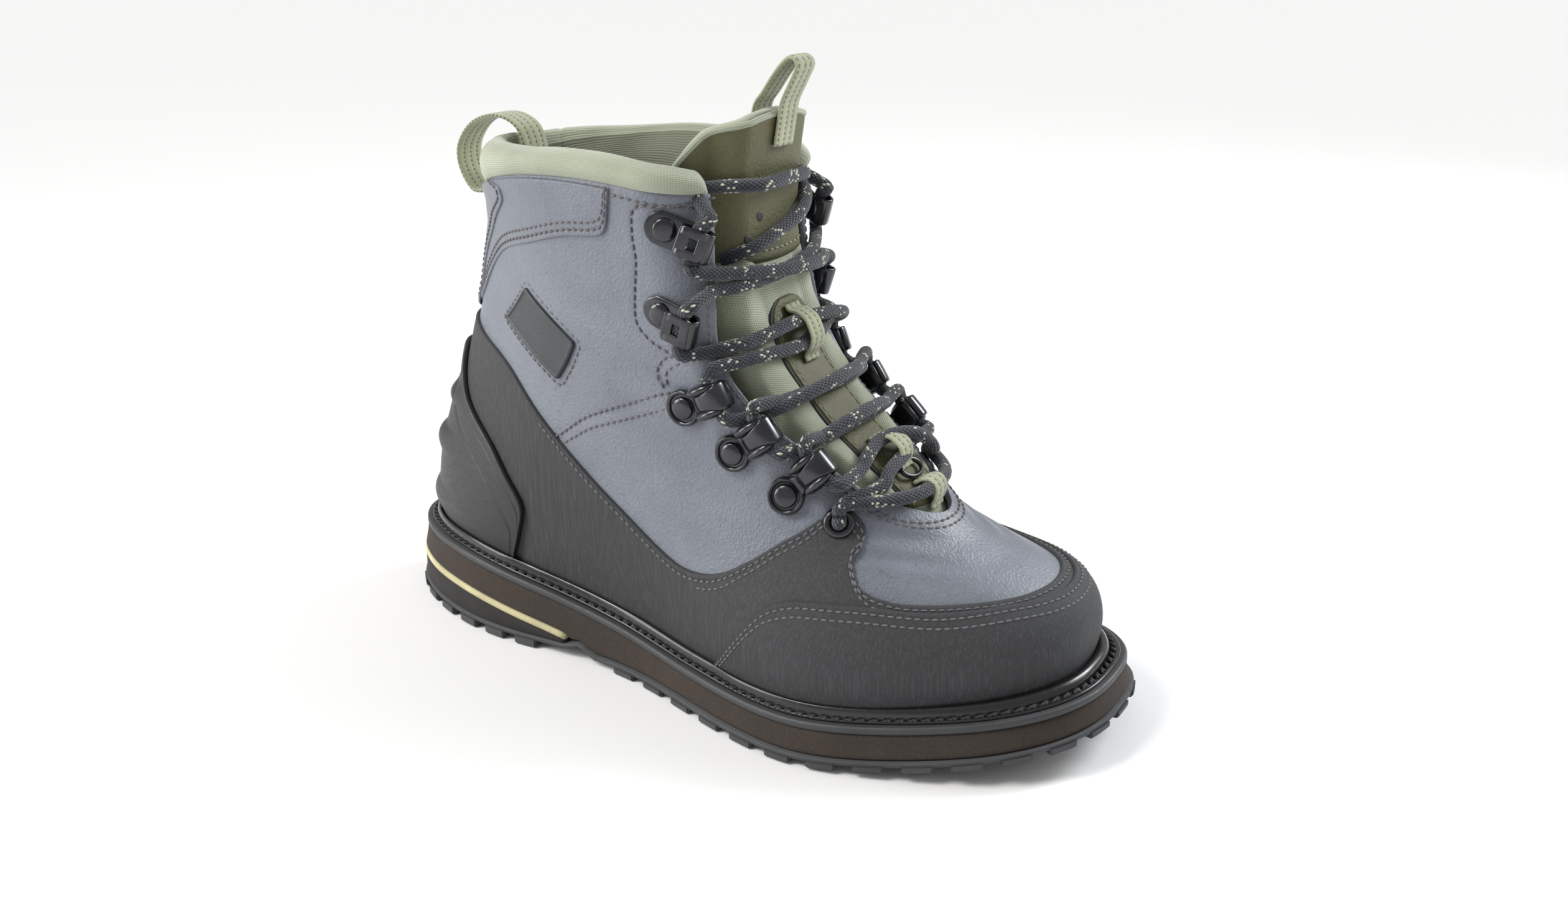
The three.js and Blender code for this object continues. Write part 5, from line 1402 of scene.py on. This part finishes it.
def collar_sections(around):
    """Sections of the collar at places around the top edge, for a whole array of places."""
    share = np.abs(around)
    top = np.full(around.shape, TOP_LEVEL)
    edge, normal = skin(top, around), skin_normal(top, around)
    normal[:, 2] = 0
    normal /= np.linalg.norm(normal, axis=1, keepdims=True)
    rise = mix(COLLAR_BACK_RISE, COLLAR_RISE, ease(share / 0.45)) * (1 - 0.25 * ease((share - 0.75) / 0.12))
    thick = collar_thick(share)
    scale = thick / COLLAR_THICK
    wave = 1 + 0.05 * np.sin(31 * around) + 0.04 * np.sin(53 * around + 1)
    rows = []
    for out, up_share in COLLAR_SECTION:
        reach = out * (scale if out < 0 else 1) * wave
        point = edge + normal * reach[:, None]
        point[:, 2] = edge[:, 2] + up_share * rise * (1 + 0.015 * np.sin(23 * around + 0.7))
        rows.append(point)
    bend = around / throat_edge(TOP_LEVEL)

    def down_inside(level, push):
        return shell(np.full(around.shape, level), bend * throat_edge(level), push)

    for level, part in ((16.4, 1.0), (15.4, 1.0), (14.4, 0.9), (13.4, 0.6), (12.6, 0.15)):
        rows.append(down_inside(level, -WALL - COLLAR_PLAY - part * (thick - WALL)))
    control = np.stack(rows, axis=1)
    steps = run_along(control.mean(axis=0))
    at = np.linspace(0, steps[-1], COLLAR_POINTS)
    smooth = np.stack([curve_through(steps, row, at) for row in control])
    seam = hump(at, steps[SEAM_ROW], 0.7)[None, :] * 0.8
    upright = hump(around, -0.19, 0.005) + hump(around, 0.19, 0.005)
    seam = seam + 0.6 * upright[:, None] * np.ones(len(at))
    inward = smooth[:, :ROLL_POINTS].mean(axis=1, keepdims=True) - smooth
    inward /= np.linalg.norm(inward, axis=2, keepdims=True)
    smooth = smooth + inward * seam[..., None]
    against_wall = np.full(around.shape, -WALL - 0.5)
    backs = [down_inside(level, against_wall) for level in (12.6, 13.6, 14.6, 15.6, 16.5)]
    last = edge.copy()
    last[:, 2] += 0.02
    backs.append(last - normal * (WALL + 0.4))
    seam_row = int(np.searchsorted(at, steps[SEAM_ROW]))
    return np.concatenate([smooth, np.stack(backs, axis=1)], axis=1), seam_row

print("collar section ready")

# %% [markdown]
# The roll gets a little thinner at its two front ends. Its inner half is lined.

# %% Collar piece
collar_end = float(throat_edge(TOP_LEVEL)) - 0.005
spread_ends = np.linspace(-1, 1, 241)
sections, seam_row = collar_sections(collar_end * squarish(spread_ends, 0.96))
rolled = np.arange(sections.shape[1]) < ROLL_POINTS
for k, keep in ((0, 0.5), (1, 0.82), (2, 0.95)):
    for end in (k, len(sections) - 1 - k):
        middle = sections[end][:MIDDLE_POINTS].mean(axis=0)
        sections[end] = middle + (sections[end] - middle) * np.where(rolled, keep, 1.0)[:, None]
collar = loft("collar_pad", sections)
dress(collar, COLLAR, ["collar_pad"])
collar.data.materials.append(LINING)
corner_of = np.empty(len(collar.data.loops), int)
collar.data.loops.foreach_get("vertex_index", corner_of)
for face in collar.data.polygons:
    inside = [corner_of[k] % sections.shape[1] for k in face.loop_indices]
    face.material_index = int(min(inside) > seam_row)
print("collar", len(collar.data.polygons), "faces")

# %% [markdown]
# ## Tongue
# The knit tongue is padded: it swells on both sides of the olive strip and dips along the strip's seams.

# %% Tongue
TONGUE_THICK, TONGUE_EDGE, TONGUE_PLAY, TONGUE_DROOP = 6.0, 3.0, 2.0, 2.6
TONGUE_REACH = np.array([[7, 0.12], [9, 0.26], [11, 0.31], [13, 0.3], [15, 0.28], [17, 0.3], [19, 0.24]])


def tongue_reach(level):
    return 1 - follow(TONGUE_REACH[:, 0], TONGUE_REACH[:, 1], level)


def tongue_push(level, share):
    edge = np.minimum(throat_edge(level), 0.97)
    in_collar = ease((level - 10.5) / 1.5) * (collar_thick(share) + COLLAR_PLAY)
    free = ease((share - edge - 0.005) / 0.07)
    return mix(-WALL - TONGUE_PLAY - in_collar, -1.2, free * ease((level - THROAT_LEVEL) / 0.8))


def tongue_droop(level, share):
    return TONGUE_DROOP * ((1 - share) / 0.3) ** 2 * np.clip((level - 16) / 3, 0, 1)


def on_tongue(level, around, lift):
    """Points on the tongue's face, raised by a distance."""
    share = fold(around)
    return shell(level, around, tongue_push(level, share) + lift)


def tongue_spot(level, around, lift):
    """One point on the tongue's face."""
    return on_tongue(np.array([float(level)]), np.array([float(around)]), lift)[0]


def over_middle(side, share):
    """Places round the boot from shares of the way to the toe, on the side that the sign of side tells."""
    return np.where(side > 0, 2 - share, share)


SIDE_TABLE = np.linspace(0, 0.34, 40)


def side_reach(level, width):
    """How far round from the tongue's middle a given width in millimetres reaches, for an array of levels."""
    level = np.atleast_1d(np.asarray(level, float))
    grid_level, grid_side = np.meshgrid(level, SIDE_TABLE, indexing="ij")
    runs = [run_along(row) for row in on_tongue(grid_level, 1 - grid_side, 0.0)]
    width = np.broadcast_to(width, level.shape)
    return np.array([np.interp(w, run, SIDE_TABLE) for w, run in zip(width, runs)])


print("tongue functions ready")

# %% [markdown]
# The pad follows the tongue's face. It is thick in the middle and thin at its rounded edges.

# %% Tongue pad
STRIP_HALF = 12.5
tongue_levels = np.linspace(7, TIP_LEVEL, 121)
reach_at = side_reach(tongue_levels, STRIP_HALF)
side = np.linspace(-1, 1, 97)
tongue_level, tongue_side = np.meshgrid(tongue_levels, side, indexing="ij")
tongue_share = 1 - np.abs(tongue_side) * (1 - tongue_reach(tongue_level))
tongue_around = over_middle(tongue_side, tongue_share)
offset = (1 - tongue_share) / reach_at[:, None]
swell = 2.1 * hump(offset, 1.75, 0.6) - 0.9 * hump(offset, 1.02, 0.16)
swell *= ease((tongue_level - 8.2) / 0.8) * (1 - ease((tongue_level - 15.0) / 1.2))
rolls = 0.35 * np.sin(4.4 * tongue_level + 1.5 * np.sin(9 * tongue_side)) * hump(offset, 1.8, 0.9)
edge_round = np.sqrt(np.clip(1 - np.clip((np.abs(tongue_side) - 0.94) / 0.06, 0, 1) ** 2, 0, 1))
droop_level = tongue_level - tongue_droop(tongue_level, tongue_share)
face_push = tongue_push(droop_level, tongue_share)
past_edge = tongue_share - np.minimum(throat_edge(tongue_level), 0.97)
thick = mix(TONGUE_EDGE, TONGUE_THICK, ease(past_edge / 0.08))
tip_round = np.sqrt(np.clip(1 - np.clip((tongue_level - 18.4) / 0.42, 0, 1) ** 2, 0.05, 1))
half_thick = thick / 2 * (0.25 + 0.75 * edge_round * tip_round)
tongue_face = shell(droop_level, tongue_around, face_push - thick / 2 + half_thick + swell + rolls)
tongue_back = shell(droop_level, tongue_around, face_push - thick / 2 - half_thick)
tongue = sheet("tongue", tongue_face, tongue_back)
dress(tongue, TONGUE, ["tongue"])
print("tongue", len(tongue.data.polygons), "faces")

# %% [markdown]
# The strip down the middle ends in a round top, over a dark edging. The panel covers the tip.

# %% Strip and panel
def tongue_piece(name, levels, widths, base, thick, finish, nodes=(), columns=60):
    """Sheet on the tongue's face with given half widths in millimetres, rounded at its edges."""
    reach = np.minimum(side_reach(levels, widths), 1 - tongue_reach(levels) + 0.004)
    level, side = np.meshgrid(levels, np.linspace(-1, 1, columns), indexing="ij")
    share = 1 - np.abs(side) * reach[:, None]
    around = over_middle(side, share)
    level = level - tongue_droop(level, share)
    width = np.broadcast_to(widths, levels.shape)[:, None]
    away = (1 - np.abs(side)) * np.maximum(width, 2.0)
    ends = np.minimum(level - levels[0], levels[-1] - level) * 9.0
    height = edge_profile(np.clip(np.minimum(away, np.maximum(ends, 0)), 0, None), thick, 0.15)
    face = shell(level, around, tongue_push(level, share) + base + height)
    back_face = shell(level, around, tongue_push(level, share) + base)
    return dress(sheet(name, face, back_face), finish, nodes)


STRIP_BEND = 13.4
round_levels = 14.3 - 0.9 * np.cos(np.linspace(0.03, np.pi / 2, 16))
strip_levels = np.unique(np.concatenate([np.linspace(8.45, STRIP_BEND, 90), round_levels]))
past_bend = np.clip((strip_levels - STRIP_BEND) / 0.92, 0, 1)
strip_widths = STRIP_HALF * np.sqrt(np.clip(1 - past_bend**2.4, 0.02, 1))
tongue_piece("tongue_strip", strip_levels, strip_widths, 0.15, 0.9, OLIVE, ["tongue_strip"])
tongue_piece("strip_edging", strip_levels, strip_widths + 1.3, -0.5, 1.0, DARK_EDGING_AND_HOLE_SHADE)
panel_levels = np.linspace(15.2, TIP_LEVEL, 60)
tongue_piece("tongue_panel", panel_levels, np.full(60, 60.0), 0.2, 1.2, OLIVE, ["tongue_panel"], 90)
print("strip and panel ready")

# %% [markdown]
# Stitches run along the strip's edge and across the panel's foot, and a roll edges the panel.

# %% Seams and piping
def tongue_line(levels, widths, lift, side):
    """Line on the tongue's face at given distances from its middle, on the side -1 outer or 1 inner."""
    levels = np.asarray(levels, float)
    share = 1 - side_reach(levels, np.asarray(widths, float))
    return on_tongue(levels - tongue_droop(levels, share), over_middle(side, share), lift)


OLIVE_STITCH = {"pitch": 3.3, "length": 2.6, "thick": 0.8}
seam_levels, seam_widths = strip_levels[2:-5], strip_widths[2:-5] - 2.2
strip_seam = np.concatenate([tongue_line(seam_levels, seam_widths, 0.98, -1),
                             tongue_line(seam_levels, seam_widths, 0.98, 1)[::-1]])
stitch("strip_stitches", [strip_seam], OLIVE_THREAD, "olive", **OLIVE_STITCH)
panel_seam = np.concatenate([tongue_line([15.45] * 12, np.linspace(22, 0.5, 12), 1.4, -1),
                             tongue_line([15.45] * 12, np.linspace(0.5, 22, 12), 1.4, 1)])
stitch("panel_stitches", [panel_seam], OLIVE_THREAD, "olive", **OLIVE_STITCH)
pipe_side = np.concatenate([np.full(8, -1.0), np.linspace(-1, 1, 30)[1:-1], np.full(8, 1.0)])
pipe_level = np.concatenate([np.linspace(15.6, 18.7, 8), np.full(28, 18.76), np.linspace(18.7, 15.6, 8)])
pipe_share = 1 - np.abs(pipe_side) * (1 - tongue_reach(pipe_level))
pipe_droop = tongue_droop(pipe_level, pipe_share)
pipe_path = on_tongue(pipe_level - pipe_droop, over_middle(pipe_side, pipe_share), 0.7)
dress(tube("panel_piping", smooth_path(pipe_path, 150), 1.15, 10), COLLAR)

# %% [markdown]
# A dark ring lies between the low and the middle keeper, and the panel has two small holes, drawn as dark
# discs whose darkness is painted shade.

# %% Ring and holes
def tongue_frame(level, around, lift):
    """Centre and two tangents of a place on the tongue: across the boot and up the tongue."""
    centre = tongue_spot(level, around, lift)
    rise = tongue_spot(level + 0.1, around, lift) - centre
    across = tongue_spot(level, around + 0.01, lift) - centre
    return centre, across / np.linalg.norm(across), rise / np.linalg.norm(rise)


def ellipse(level, around, lift, wide, tall, count):
    """Ring of points lying on the tongue."""
    centre, across, rise = tongue_frame(level, around, lift)
    angle = circle(count)
    return centre + across * wide * np.cos(angle)[:, None] + rise * tall * np.sin(angle)[:, None]


def oval(level, around, lift, wide, tall, radius):
    """Sections of an oval ring lying on the tongue."""
    centre, across, rise = tongue_frame(level, around, lift)
    middle = ellipse(level, around, lift, wide, tall, 48)
    out, angle = np.cross(across, rise), circle(12)
    away = middle - centre
    away /= np.linalg.norm(away, axis=1, keepdims=True)
    ring = away[:, None] * np.cos(angle)[None, :, None] + out * np.sin(angle)[None, :, None]
    return middle[:, None] + radius * ring


dress(loft("tongue_ring", oval(9.4, 1.0, 2.8, 6.4, 3.7, 0.95), closed=True), METAL)
HOLE_ROWS = [(-0.4, 1.7), (0.25, 1.7), (0.3, 1.2), (0.3, 0.1)]
# painted shade: each hole is a dark disc lying on the panel, not an opening
for k, (level, around) in enumerate([(16.3, 0.955), (15.75, 0.925)]):
    rings = [ellipse(level, around, 1.25 + lift, radius, radius, 20) for lift, radius in HOLE_ROWS]
    dress(loft(f"panel_hole_{k + 1}", np.stack(rings)), DARK_EDGING_AND_HOLE_SHADE)
print("ring and holes ready")

# %% [markdown]
# ## Straps
# Keepers and pull loops are woven tape: flat straps with rounded edges along smooth paths.

# %% Keepers and loops
def strap(name, points, count, width, thick, bow=0.0):
    """Tape along a smooth path. Its section has rounded edges and may be bowed a little across."""
    path = smooth_path(points, count)
    side, out = frames_along(path, (0, 1, 0))
    angle = circle(28)
    wide = squarish(np.cos(angle), 0.35) * width / 2
    high = squarish(np.sin(angle), 0.8) * thick / 2
    high = high + bow * (1 - (2 * wide / width) ** 2)
    sections = path[:, None] + side[:, None] * wide[None, :, None] - out[:, None] * high[None, :, None]
    return dress(loft(name, sections), TAPE, [name])


KEEPERS = [
    # name, level, reach up and down, lift of its feet, rise of its arch
    ("keeper_low", 8.7, 0.32, -0.6, 5.6), ("keeper_middle", 10.0, 0.42, 0, 6.6),
    ("keeper_high", 13.4, 0.55, 0, 7.0)]
KEEPER_ARCH = [(1.25, 0.0), (1.0, 0.1), (0.82, 0.55), (0.45, 0.93), (0, 1), (-0.45, 0.93), (-0.82, 0.55),
               (-1.0, 0.1), (-1.25, 0.0)]
for name, level, reach, lift, rise in KEEPERS:
    path = [tongue_spot(level + reach * share, 1.0, 1.9 + lift + rise * high) for share, high in KEEPER_ARCH]
    strap(name, path, 40, width=9.5, thick=1.3, bow=0.2)
print("keepers ready")

# %% [markdown]
# One loop stands up at the back of the collar, the other at the tip of the tongue.

# %% Pull loops
BACK_LOOP = [(-12, -2), (-18, 7), (-17.5, 16), (-9, 25), (4, 28), (14, 24)]
TONGUE_LOOP = [(3.5, 3.5), (7.5, 11), (9.6, 15.8), (7, 18.3), (2.5, 15), (-4.5, 6)]


def at_top(level, push, rise=None):
    """Point at the back of the upper, or at a height over its top edge."""
    point = shell(np.array([float(level)]), np.array([0.0]), push)[0]
    if rise is not None:
        point[2] = back_base[2] + rise
    return point


back_base = skin(TOP_LEVEL, 0.0)
into = -WALL - COLLAR_PLAY - COLLAR_THICK - 2.4
strap("back_loop", [at_top(14.0, 2.4), at_top(15.9, 2.8)] + [back_base + [dx, 0, dz] for dx, dz in BACK_LOOP]
      + [at_top(TOP_LEVEL, into, 14), at_top(TOP_LEVEL, into, 2)], 90, width=14, thick=1.8)
tip = tongue_spot(TIP_LEVEL, 1.0, 0)
strap("tongue_loop", [tongue_spot(18, 1.0, 2.4), tongue_spot(TIP_LEVEL, 1.0, 2.6)]
      + [tip + [dx, 0, dz] for dx, dz in TONGUE_LOOP]
      + [tongue_spot(TIP_LEVEL, 1.0, -8.0), tongue_spot(18, 1.0, -8.0)], 80, width=12.5, thick=1.7)
print("pull loops ready")

# %% [markdown]
# ## Hooks and eyelets
# Each hook is built lying flat, with x towards the throat and z away from the foot, and then set on the
# upper. The two top ones have a square frame over the lace, the three lower ones a flared bridge with
# rounded lips.

# %% Hook builders
# level and place of the rivet, level and place that the hook points to, and how far out the lace lies
HOOKS = [(15.95, 0.753, 15.8, 0.814, 11.0), (13.4, 0.694, 13.5, 0.754, 10.7),
         (9.9, 0.604, 11.4, 0.727, 16.5), (8.9, 0.647, 10.6, 0.771, 16.5), (8.0, 0.698, 9.5, 0.798, 16.0)]
HOOK_PUSH = 0.35
EYELET, EYELET_AIM = (7.46, 0.757), (8.4, 0.787)


def seat_frame(level, around, tip_level, tip_around, push):
    """Origin and the three axes, as rows, of a place on the upper."""
    origin, out = shell(level, around, push), skin_normal(level, around)
    run = skin(tip_level, tip_around) - skin(level, around)
    run -= out * np.dot(run, out)
    run /= np.linalg.norm(run)
    return origin, np.stack([run, np.cross(out, run), out])


def hook_seat(index, sign):
    level, around, aim_level, aim_around, _ = HOOKS[index - 1]
    return seat_frame(level, sign * around, aim_level, sign * aim_around, HOOK_PUSH)


def eyelet_seat(sign):
    return seat_frame(EYELET[0], sign * EYELET[1], EYELET_AIM[0], sign * EYELET_AIM[1], RAND_OUT)


def bar(path, half_widths, thick):
    """Sections of a bent plate: a path of (x, z) with half widths across it and rounded edges."""
    path = np.asarray(path, float)
    line = np.column_stack([path[:, 0], np.zeros(len(path)), path[:, 1]])
    run = np.gradient(line, axis=0)
    run /= np.linalg.norm(run, axis=1, keepdims=True)
    out, angle = np.cross(run, (0, 1, 0)), circle(16)
    wide = squarish(np.cos(angle), 0.3)[None] * np.asarray(half_widths)[:, None]
    high = squarish(np.sin(angle), 0.7) * thick / 2
    return line[:, None] + np.array([0, 1.0, 0]) * wide[..., None] + out[:, None] * high[None, :, None]


def lathe(profile):
    """Rings of a turned part from its radii and heights."""
    angle = circle(28)
    rings = [(radius * np.cos(angle), radius * np.sin(angle), np.full(28, z)) for radius, z in profile]
    return np.stack([np.column_stack(ring) for ring in rings])


def stadium(low, high, half, thick):
    """Flat plate with two round ends from one x to another."""
    angle = np.linspace(0, np.pi / 2, 9)
    first = [(low + half * (1 - math.cos(a)), half * math.sin(a)) for a in angle]
    final = [(high - half * (1 - math.cos(a)), half * math.sin(a)) for a in angle[::-1]]
    rows = first + final
    return bar([(x, thick / 2) for x, _ in rows], [max(width, 0.25) for _, width in rows], thick)


def lip(y, low, high, z, radius):
    """Rounded lip: a short thick roll beside the bridge."""
    share = np.linspace(-1, 1, 11)
    reach = radius * np.sqrt(1 - 0.94 * share**2)
    spots = (low + high) / 2 + share * (high - low) / 2
    angle = circle(12)
    rings = [(np.full(12, x), y + 0.62 * r * np.cos(angle), z + 1.25 * r * np.sin(angle))
             for x, r in zip(spots, reach)]
    return np.stack([np.column_stack(ring) for ring in rings])


print("hook builders ready")

# %% [markdown]
# Profiles of the turned parts, and the two kinds of hooks put together from plates and bars.

# %% Hook forms
FRAME_HEIGHT = 6.9
RIVET = [(0.05, 3.1), (2.2, 3.05), (3.6, 2.75), (4.2, 2.3), (4.35, 1.5), (4.35, 0.2), (0.05, 0.2)]
FLANGE = [(2.9, -2.2), (2.9, 0.6), (3.1, 1.2), (3.7, 1.7), (4.6, 1.6), (5.4, 1.1), (5.7, 0.3), (5.4, -0.4),
          (3.4, -0.6), (3.2, -2.2)]
RING = [(5.0, 0.4), (6.6, 0.4), (6.9, 1.2), (6.6, 2.1), (6.0, 2.4), (5.4, 2.1), (5.0, 1.2), (5.0, 0.4)]


def low_hook():
    bridge = [(4.5, 1.5), (6.5, 1.9), (8.2, 3.0), (9.6, 5.0), (11.2, 6.9), (13.6, 7.8), (16.5, 8.0),
              (19.2, 7.6), (20.8, 6.4), (21.4, 4.4), (21.4, 2.0)]
    widths = [4.4, 3.4, 2.8, 2.6, 2.7, 2.9, 3.4, 4.2, 4.8, 4.9, 4.6]
    base = bar([(x, 0.7) for x in (5.0, 9, 14, 19, 21.5)], [4.4, 4.2, 4.8, 5.0, 4.4], 1.0)
    lips = [lip(y, 7.6, 19.4, 5.4, 3.3) for y in (4.5, -4.5)]
    return [stadium(-7.0, 7.0, 6.9, 1.4), lathe(RING), lathe(RIVET), bar(bridge, widths, 1.3), base] + lips


def top_hook():
    curl = [(8.0, 0.8), (13.2, 0.9), (15.4, 1.5), (16.7, 3.2), (17.0, 4.9), (16.3, 6.3), (14.9, 6.9)]
    frame = [(side, [1.8] * 4) for side in [(5.6, 8, 12, 15.2)] * 2]
    frame += [((5.0, 5.6, 8.4, 8.9), [5.0, 5.5, 5.5, 5.4]), ((12.2, 12.7, 14.8, 15.6), [5.4, 5.5, 5.5, 5.3])]
    bars = [bar([(x, FRAME_HEIGHT) for x in spots], widths, 1.4) for spots, widths in frame]
    moved = [sections + [0, y, 0] for sections, y in zip(bars, (3.7, -3.7, 0, 0))]
    curl_widths = [5.2, 5.4, 5.5, 5.5, 5.5, 5.5, 5.4]
    return [stadium(-7.2, 15.5, 6.0, 1.5), lathe(RIVET), bar(curl, curl_widths, 1.4)] + moved


print("hook forms ready")

# %% [markdown]
# Both sides carry the same row of hooks, with an eyelet at the low end.

# %% Hooks and eyelets in place
def set_metal(name, parts, seat, closed=False):
    """Metal piece made of lists of sections and set on the upper at its seat."""
    origin, axes = seat
    made = [loft("part", origin + sections @ axes, closed) for sections in parts]
    return dress(merge(name, made), METAL, [name])


for side_name, sign in (("outer", 1), ("inner", -1)):
    for k in range(1, len(HOOKS) + 1):
        set_metal(f"hook_{side_name}_{k}", top_hook() if k <= 2 else low_hook(), hook_seat(k, sign))
    set_metal(f"eyelet_{side_name}", [lathe(FLANGE)], eyelet_seat(sign), closed=True)
print("hooks ready")

# %% [markdown]
# ## Lace
# Two halves of one lace leave the eyelets and cross up the tongue from hook to hook, passing over and
# under each other. A short bar joins the eyelets through the low keeper. Both ends are tucked under at
# the top.

# %% Lace
LACE_RADIUS, LACE_SIDES, LACE_HEIGHT = 2.5, 16, 4.2


def through_hook(index, sign):
    """Points of the lace going up through a hook: in from below and out above, bent towards the tongue."""
    _, _, aim_level, aim_around, reach = HOOKS[index - 1]
    origin, axes = hook_seat(index, sign)
    inward = axes[0]
    centre = origin + inward * reach + axes[2] * LACE_HEIGHT
    upward = skin(aim_level + 0.4, sign * aim_around) - skin(aim_level - 0.4, sign * aim_around)
    through = axes[1] * np.sign(np.dot(axes[1], upward))
    return [centre + through * along + inward * bend
            for along, bend in ((-9.5, 2.8), (-5.5, 0.3), (0, 0), (5.5, 0.3), (9.5, 2.8))]


LACE_ROWS = {
    # low, high: level where the strands cross, and how high the upper strand passes over the lower one
    (0, 5): (10.0, 5.0), (5, 4): (11.0, 5.2), (4, 3): (12.0, 5.2), (3, 2): (13.4, 5.0), (2, 1): (14.9, 5.2)}


def ends_of(index, way):
    """Where a strand leaves a hook upwards or reaches it from below, or leaves the eyelet for index 0."""
    if index == 0:
        return EYELET[0] + 0.75, EYELET[1] + 0.07
    _, _, aim_level, aim_around, _ = HOOKS[index - 1]
    rise = np.linalg.norm(skin(aim_level + 1, aim_around) - skin(aim_level, aim_around))
    return aim_level + way * 10.5 / rise, aim_around + 0.012


def crossing(low, high, sign, over):
    """Middle part of a strand from a low hook on one side to a higher one on the other side."""
    cross_level, gap = LACE_ROWS[(low, high)]
    (from_level, from_around), (to_level, to_around) = ends_of(low, 1), ends_of(high, -1)
    bow = cross_level - (from_level + to_level) / 2
    shift, crest, width, count = 0.0, 0.5, 0.26, 7
    if (low, high) in ((0, 5), (3, 2)):
        shift, crest, width, count = (0.27, 0.3, 0.18, 9) if over else (-0.27, 0.7, 0.18, 9)
    points = []
    for t in np.linspace(0.14, 0.86, count):
        level = mix(from_level, to_level, t) + 4 * bow * t * (1 - t) + shift * hump(t, 0.5, 0.24)
        around = mix(from_around, 2 - to_around, t)
        lift = 3.2 + (gap * hump(t, crest, width) if over else 0.0)
        place = around if sign > 0 else 2 - around
        points.append(shell(level, place, lift))
    return points


def eyelet_start(sign):
    """Points of the lace coming up through an eyelet."""
    origin, axes = eyelet_seat(sign)
    return [origin - axes[2] * 3.2 - axes[0] * 0.6, origin + axes[2] * 0.2 - axes[0] * 0.2,
            origin + axes[2] * 3.0 + axes[0] * 2.0, origin + axes[2] * 3.6 + axes[0] * 6.0]


def lace_half(sign, over_rows, tail):
    points = eyelet_start(sign)
    here, low = sign, 0
    for high in (5, 4, 3, 2, 1):
        points += crossing(low, high, here, (low, high) in over_rows)
        here, low = -here, high
        points += through_hook(high, here)
    return points + tail


def lace_tail(places):
    return [tongue_spot(*place) for place in places]


tail_a = lace_tail([(16.9, 1.17, 7.0), (16.55, 1.1, 6.2), (16.2, 1.04, 5.6), (15.9, 0.98, 5.0),
                    (15.6, 0.93, 3.6), (15.42, 0.9, 1.8), (15.3, 0.885, 0.2)])
tail_b = lace_tail([(17.0, 0.83, 7.0), (17.15, 0.88, 6.6), (17.2, 0.94, 5.6), (17.25, 1.0, 5.4),
                    (17.2, 1.06, 4.8), (17.0, 1.12, 3.0), (16.7, 1.17, 0.5)])
half_a = lace_half(1, {(5, 4), (3, 2)}, tail_a)
half_b = lace_half(-1, {(0, 5), (4, 3), (2, 1)}, tail_b)


def lace_tube(name, points, count, nodes):
    path = smooth_path(points, count)
    radius = LACE_RADIUS * (1 + 0.02 * np.sin(np.arange(count) * 1.3))
    made = tube(name, path, radius, LACE_SIDES)
    print(name, "length", round(float(run_along(path)[-1])), "mm")
    return dress(made, LACE, nodes)


lace_tube("lace_near", half_a, 620, ["lace_cross_1", "lace_cross_2", "lace_cross_3"])
lace_tube("lace_far", half_b, 620, ["lace_cross_4", "lace_cross_5"])
bar_middle = [shell(8.7 - 0.25 * abs(t) ** 1.5, 1 + t * 0.15, 3.6) for t in np.linspace(-1, 1, 7)]
lace_tube("lace_bar", eyelet_start(1) + bar_middle + eyelet_start(-1)[::-1], 130, ["lace_bar"])

# %% [markdown]
# ## Stitched seams
# Every seam is a line of places on the upper, or a line at a fixed distance from a sheet's edge.

# %% Seams
seams_dark = [rand.seam(2.6, 0.115, 0.885), rand.seam(5.4, 0.25, 0.445), rand.seam(5.4, 0.555, 0.75),
              cap.seam(2.6), cap.seam(5.6)]
stitch("rand_stitches", seams_dark, RAND_THREAD, "rand", pitch=3.0, length=2.4, thick=0.8)

surface = 0.12
grey_seams = []
for points in SEAM_LINES.values():
    grey_seams += [place_path(side_points, 160, surface) for side_points in both_sides(points)]
top_line = [(0.62, 16.62), (0.68, 16.62), (0.74, 16.62), (0.8, 16.62), (0.83, 16.6)]
throat_levels = np.linspace(8.9, 16.4, 50)


def beside_throat(distance, sign):
    """Line beside the throat's edge at a distance in millimetres."""
    edge = throat_edge(throat_levels)
    step = np.linalg.norm(skin(throat_levels, edge - 0.01) - skin(throat_levels, edge), axis=1) / 0.01
    return shell(throat_levels, sign * (edge - distance / step), np.full(50, surface))


def throat_base(distance):
    """U round the lower end of the throat."""
    low = 8.0 - distance / 11.5
    half = [(0.815, 8.95), (0.83, 8.45), (0.855, 8.12), (0.895, 7.98), (0.945, 7.99)]
    points = [(a - distance * 0.0045 * (1 - k / 6), level - (8.0 - low) * (0.35 + 0.65 * k / 4))
              for k, (a, level) in enumerate(half)] + [(1.0, low)]
    return place_path(around_toe(points), 90, surface)


grey_seams += [beside_throat(3.0, 1), beside_throat(3.0, -1), throat_base(2.6), throat_base(5.4)]
grey_seams += [place_path(side_points, 60, surface) for side_points in both_sides(top_line)]
grey_seams += [heel_patch.seam(2.6), heel_patch.seam(5.4), back_strip.seam(2.8)]
badge_line = badge_grid(lambda away: np.full(away.shape, surface), grow=2.3, radius=2.4)
badge_sides = [badge_line[0, :-1], badge_line[:-1, -1], badge_line[-1, :0:-1], badge_line[:0:-1, 0]]
grey_seams.append(np.concatenate(badge_sides + [badge_line[:1, 0]]))
# these stitches carry painted shade in their darkened thread colour
stitch("grey_stitches", grey_seams, SHADE_DARKENED_GREY_THREAD, "upper", pitch=3.1, length=2.5, thick=0.95)

# %% [markdown]
# ## Count
# The finished pieces are counted, and the scene is finished.

# %% Finish
print(len(pieces), "pieces")
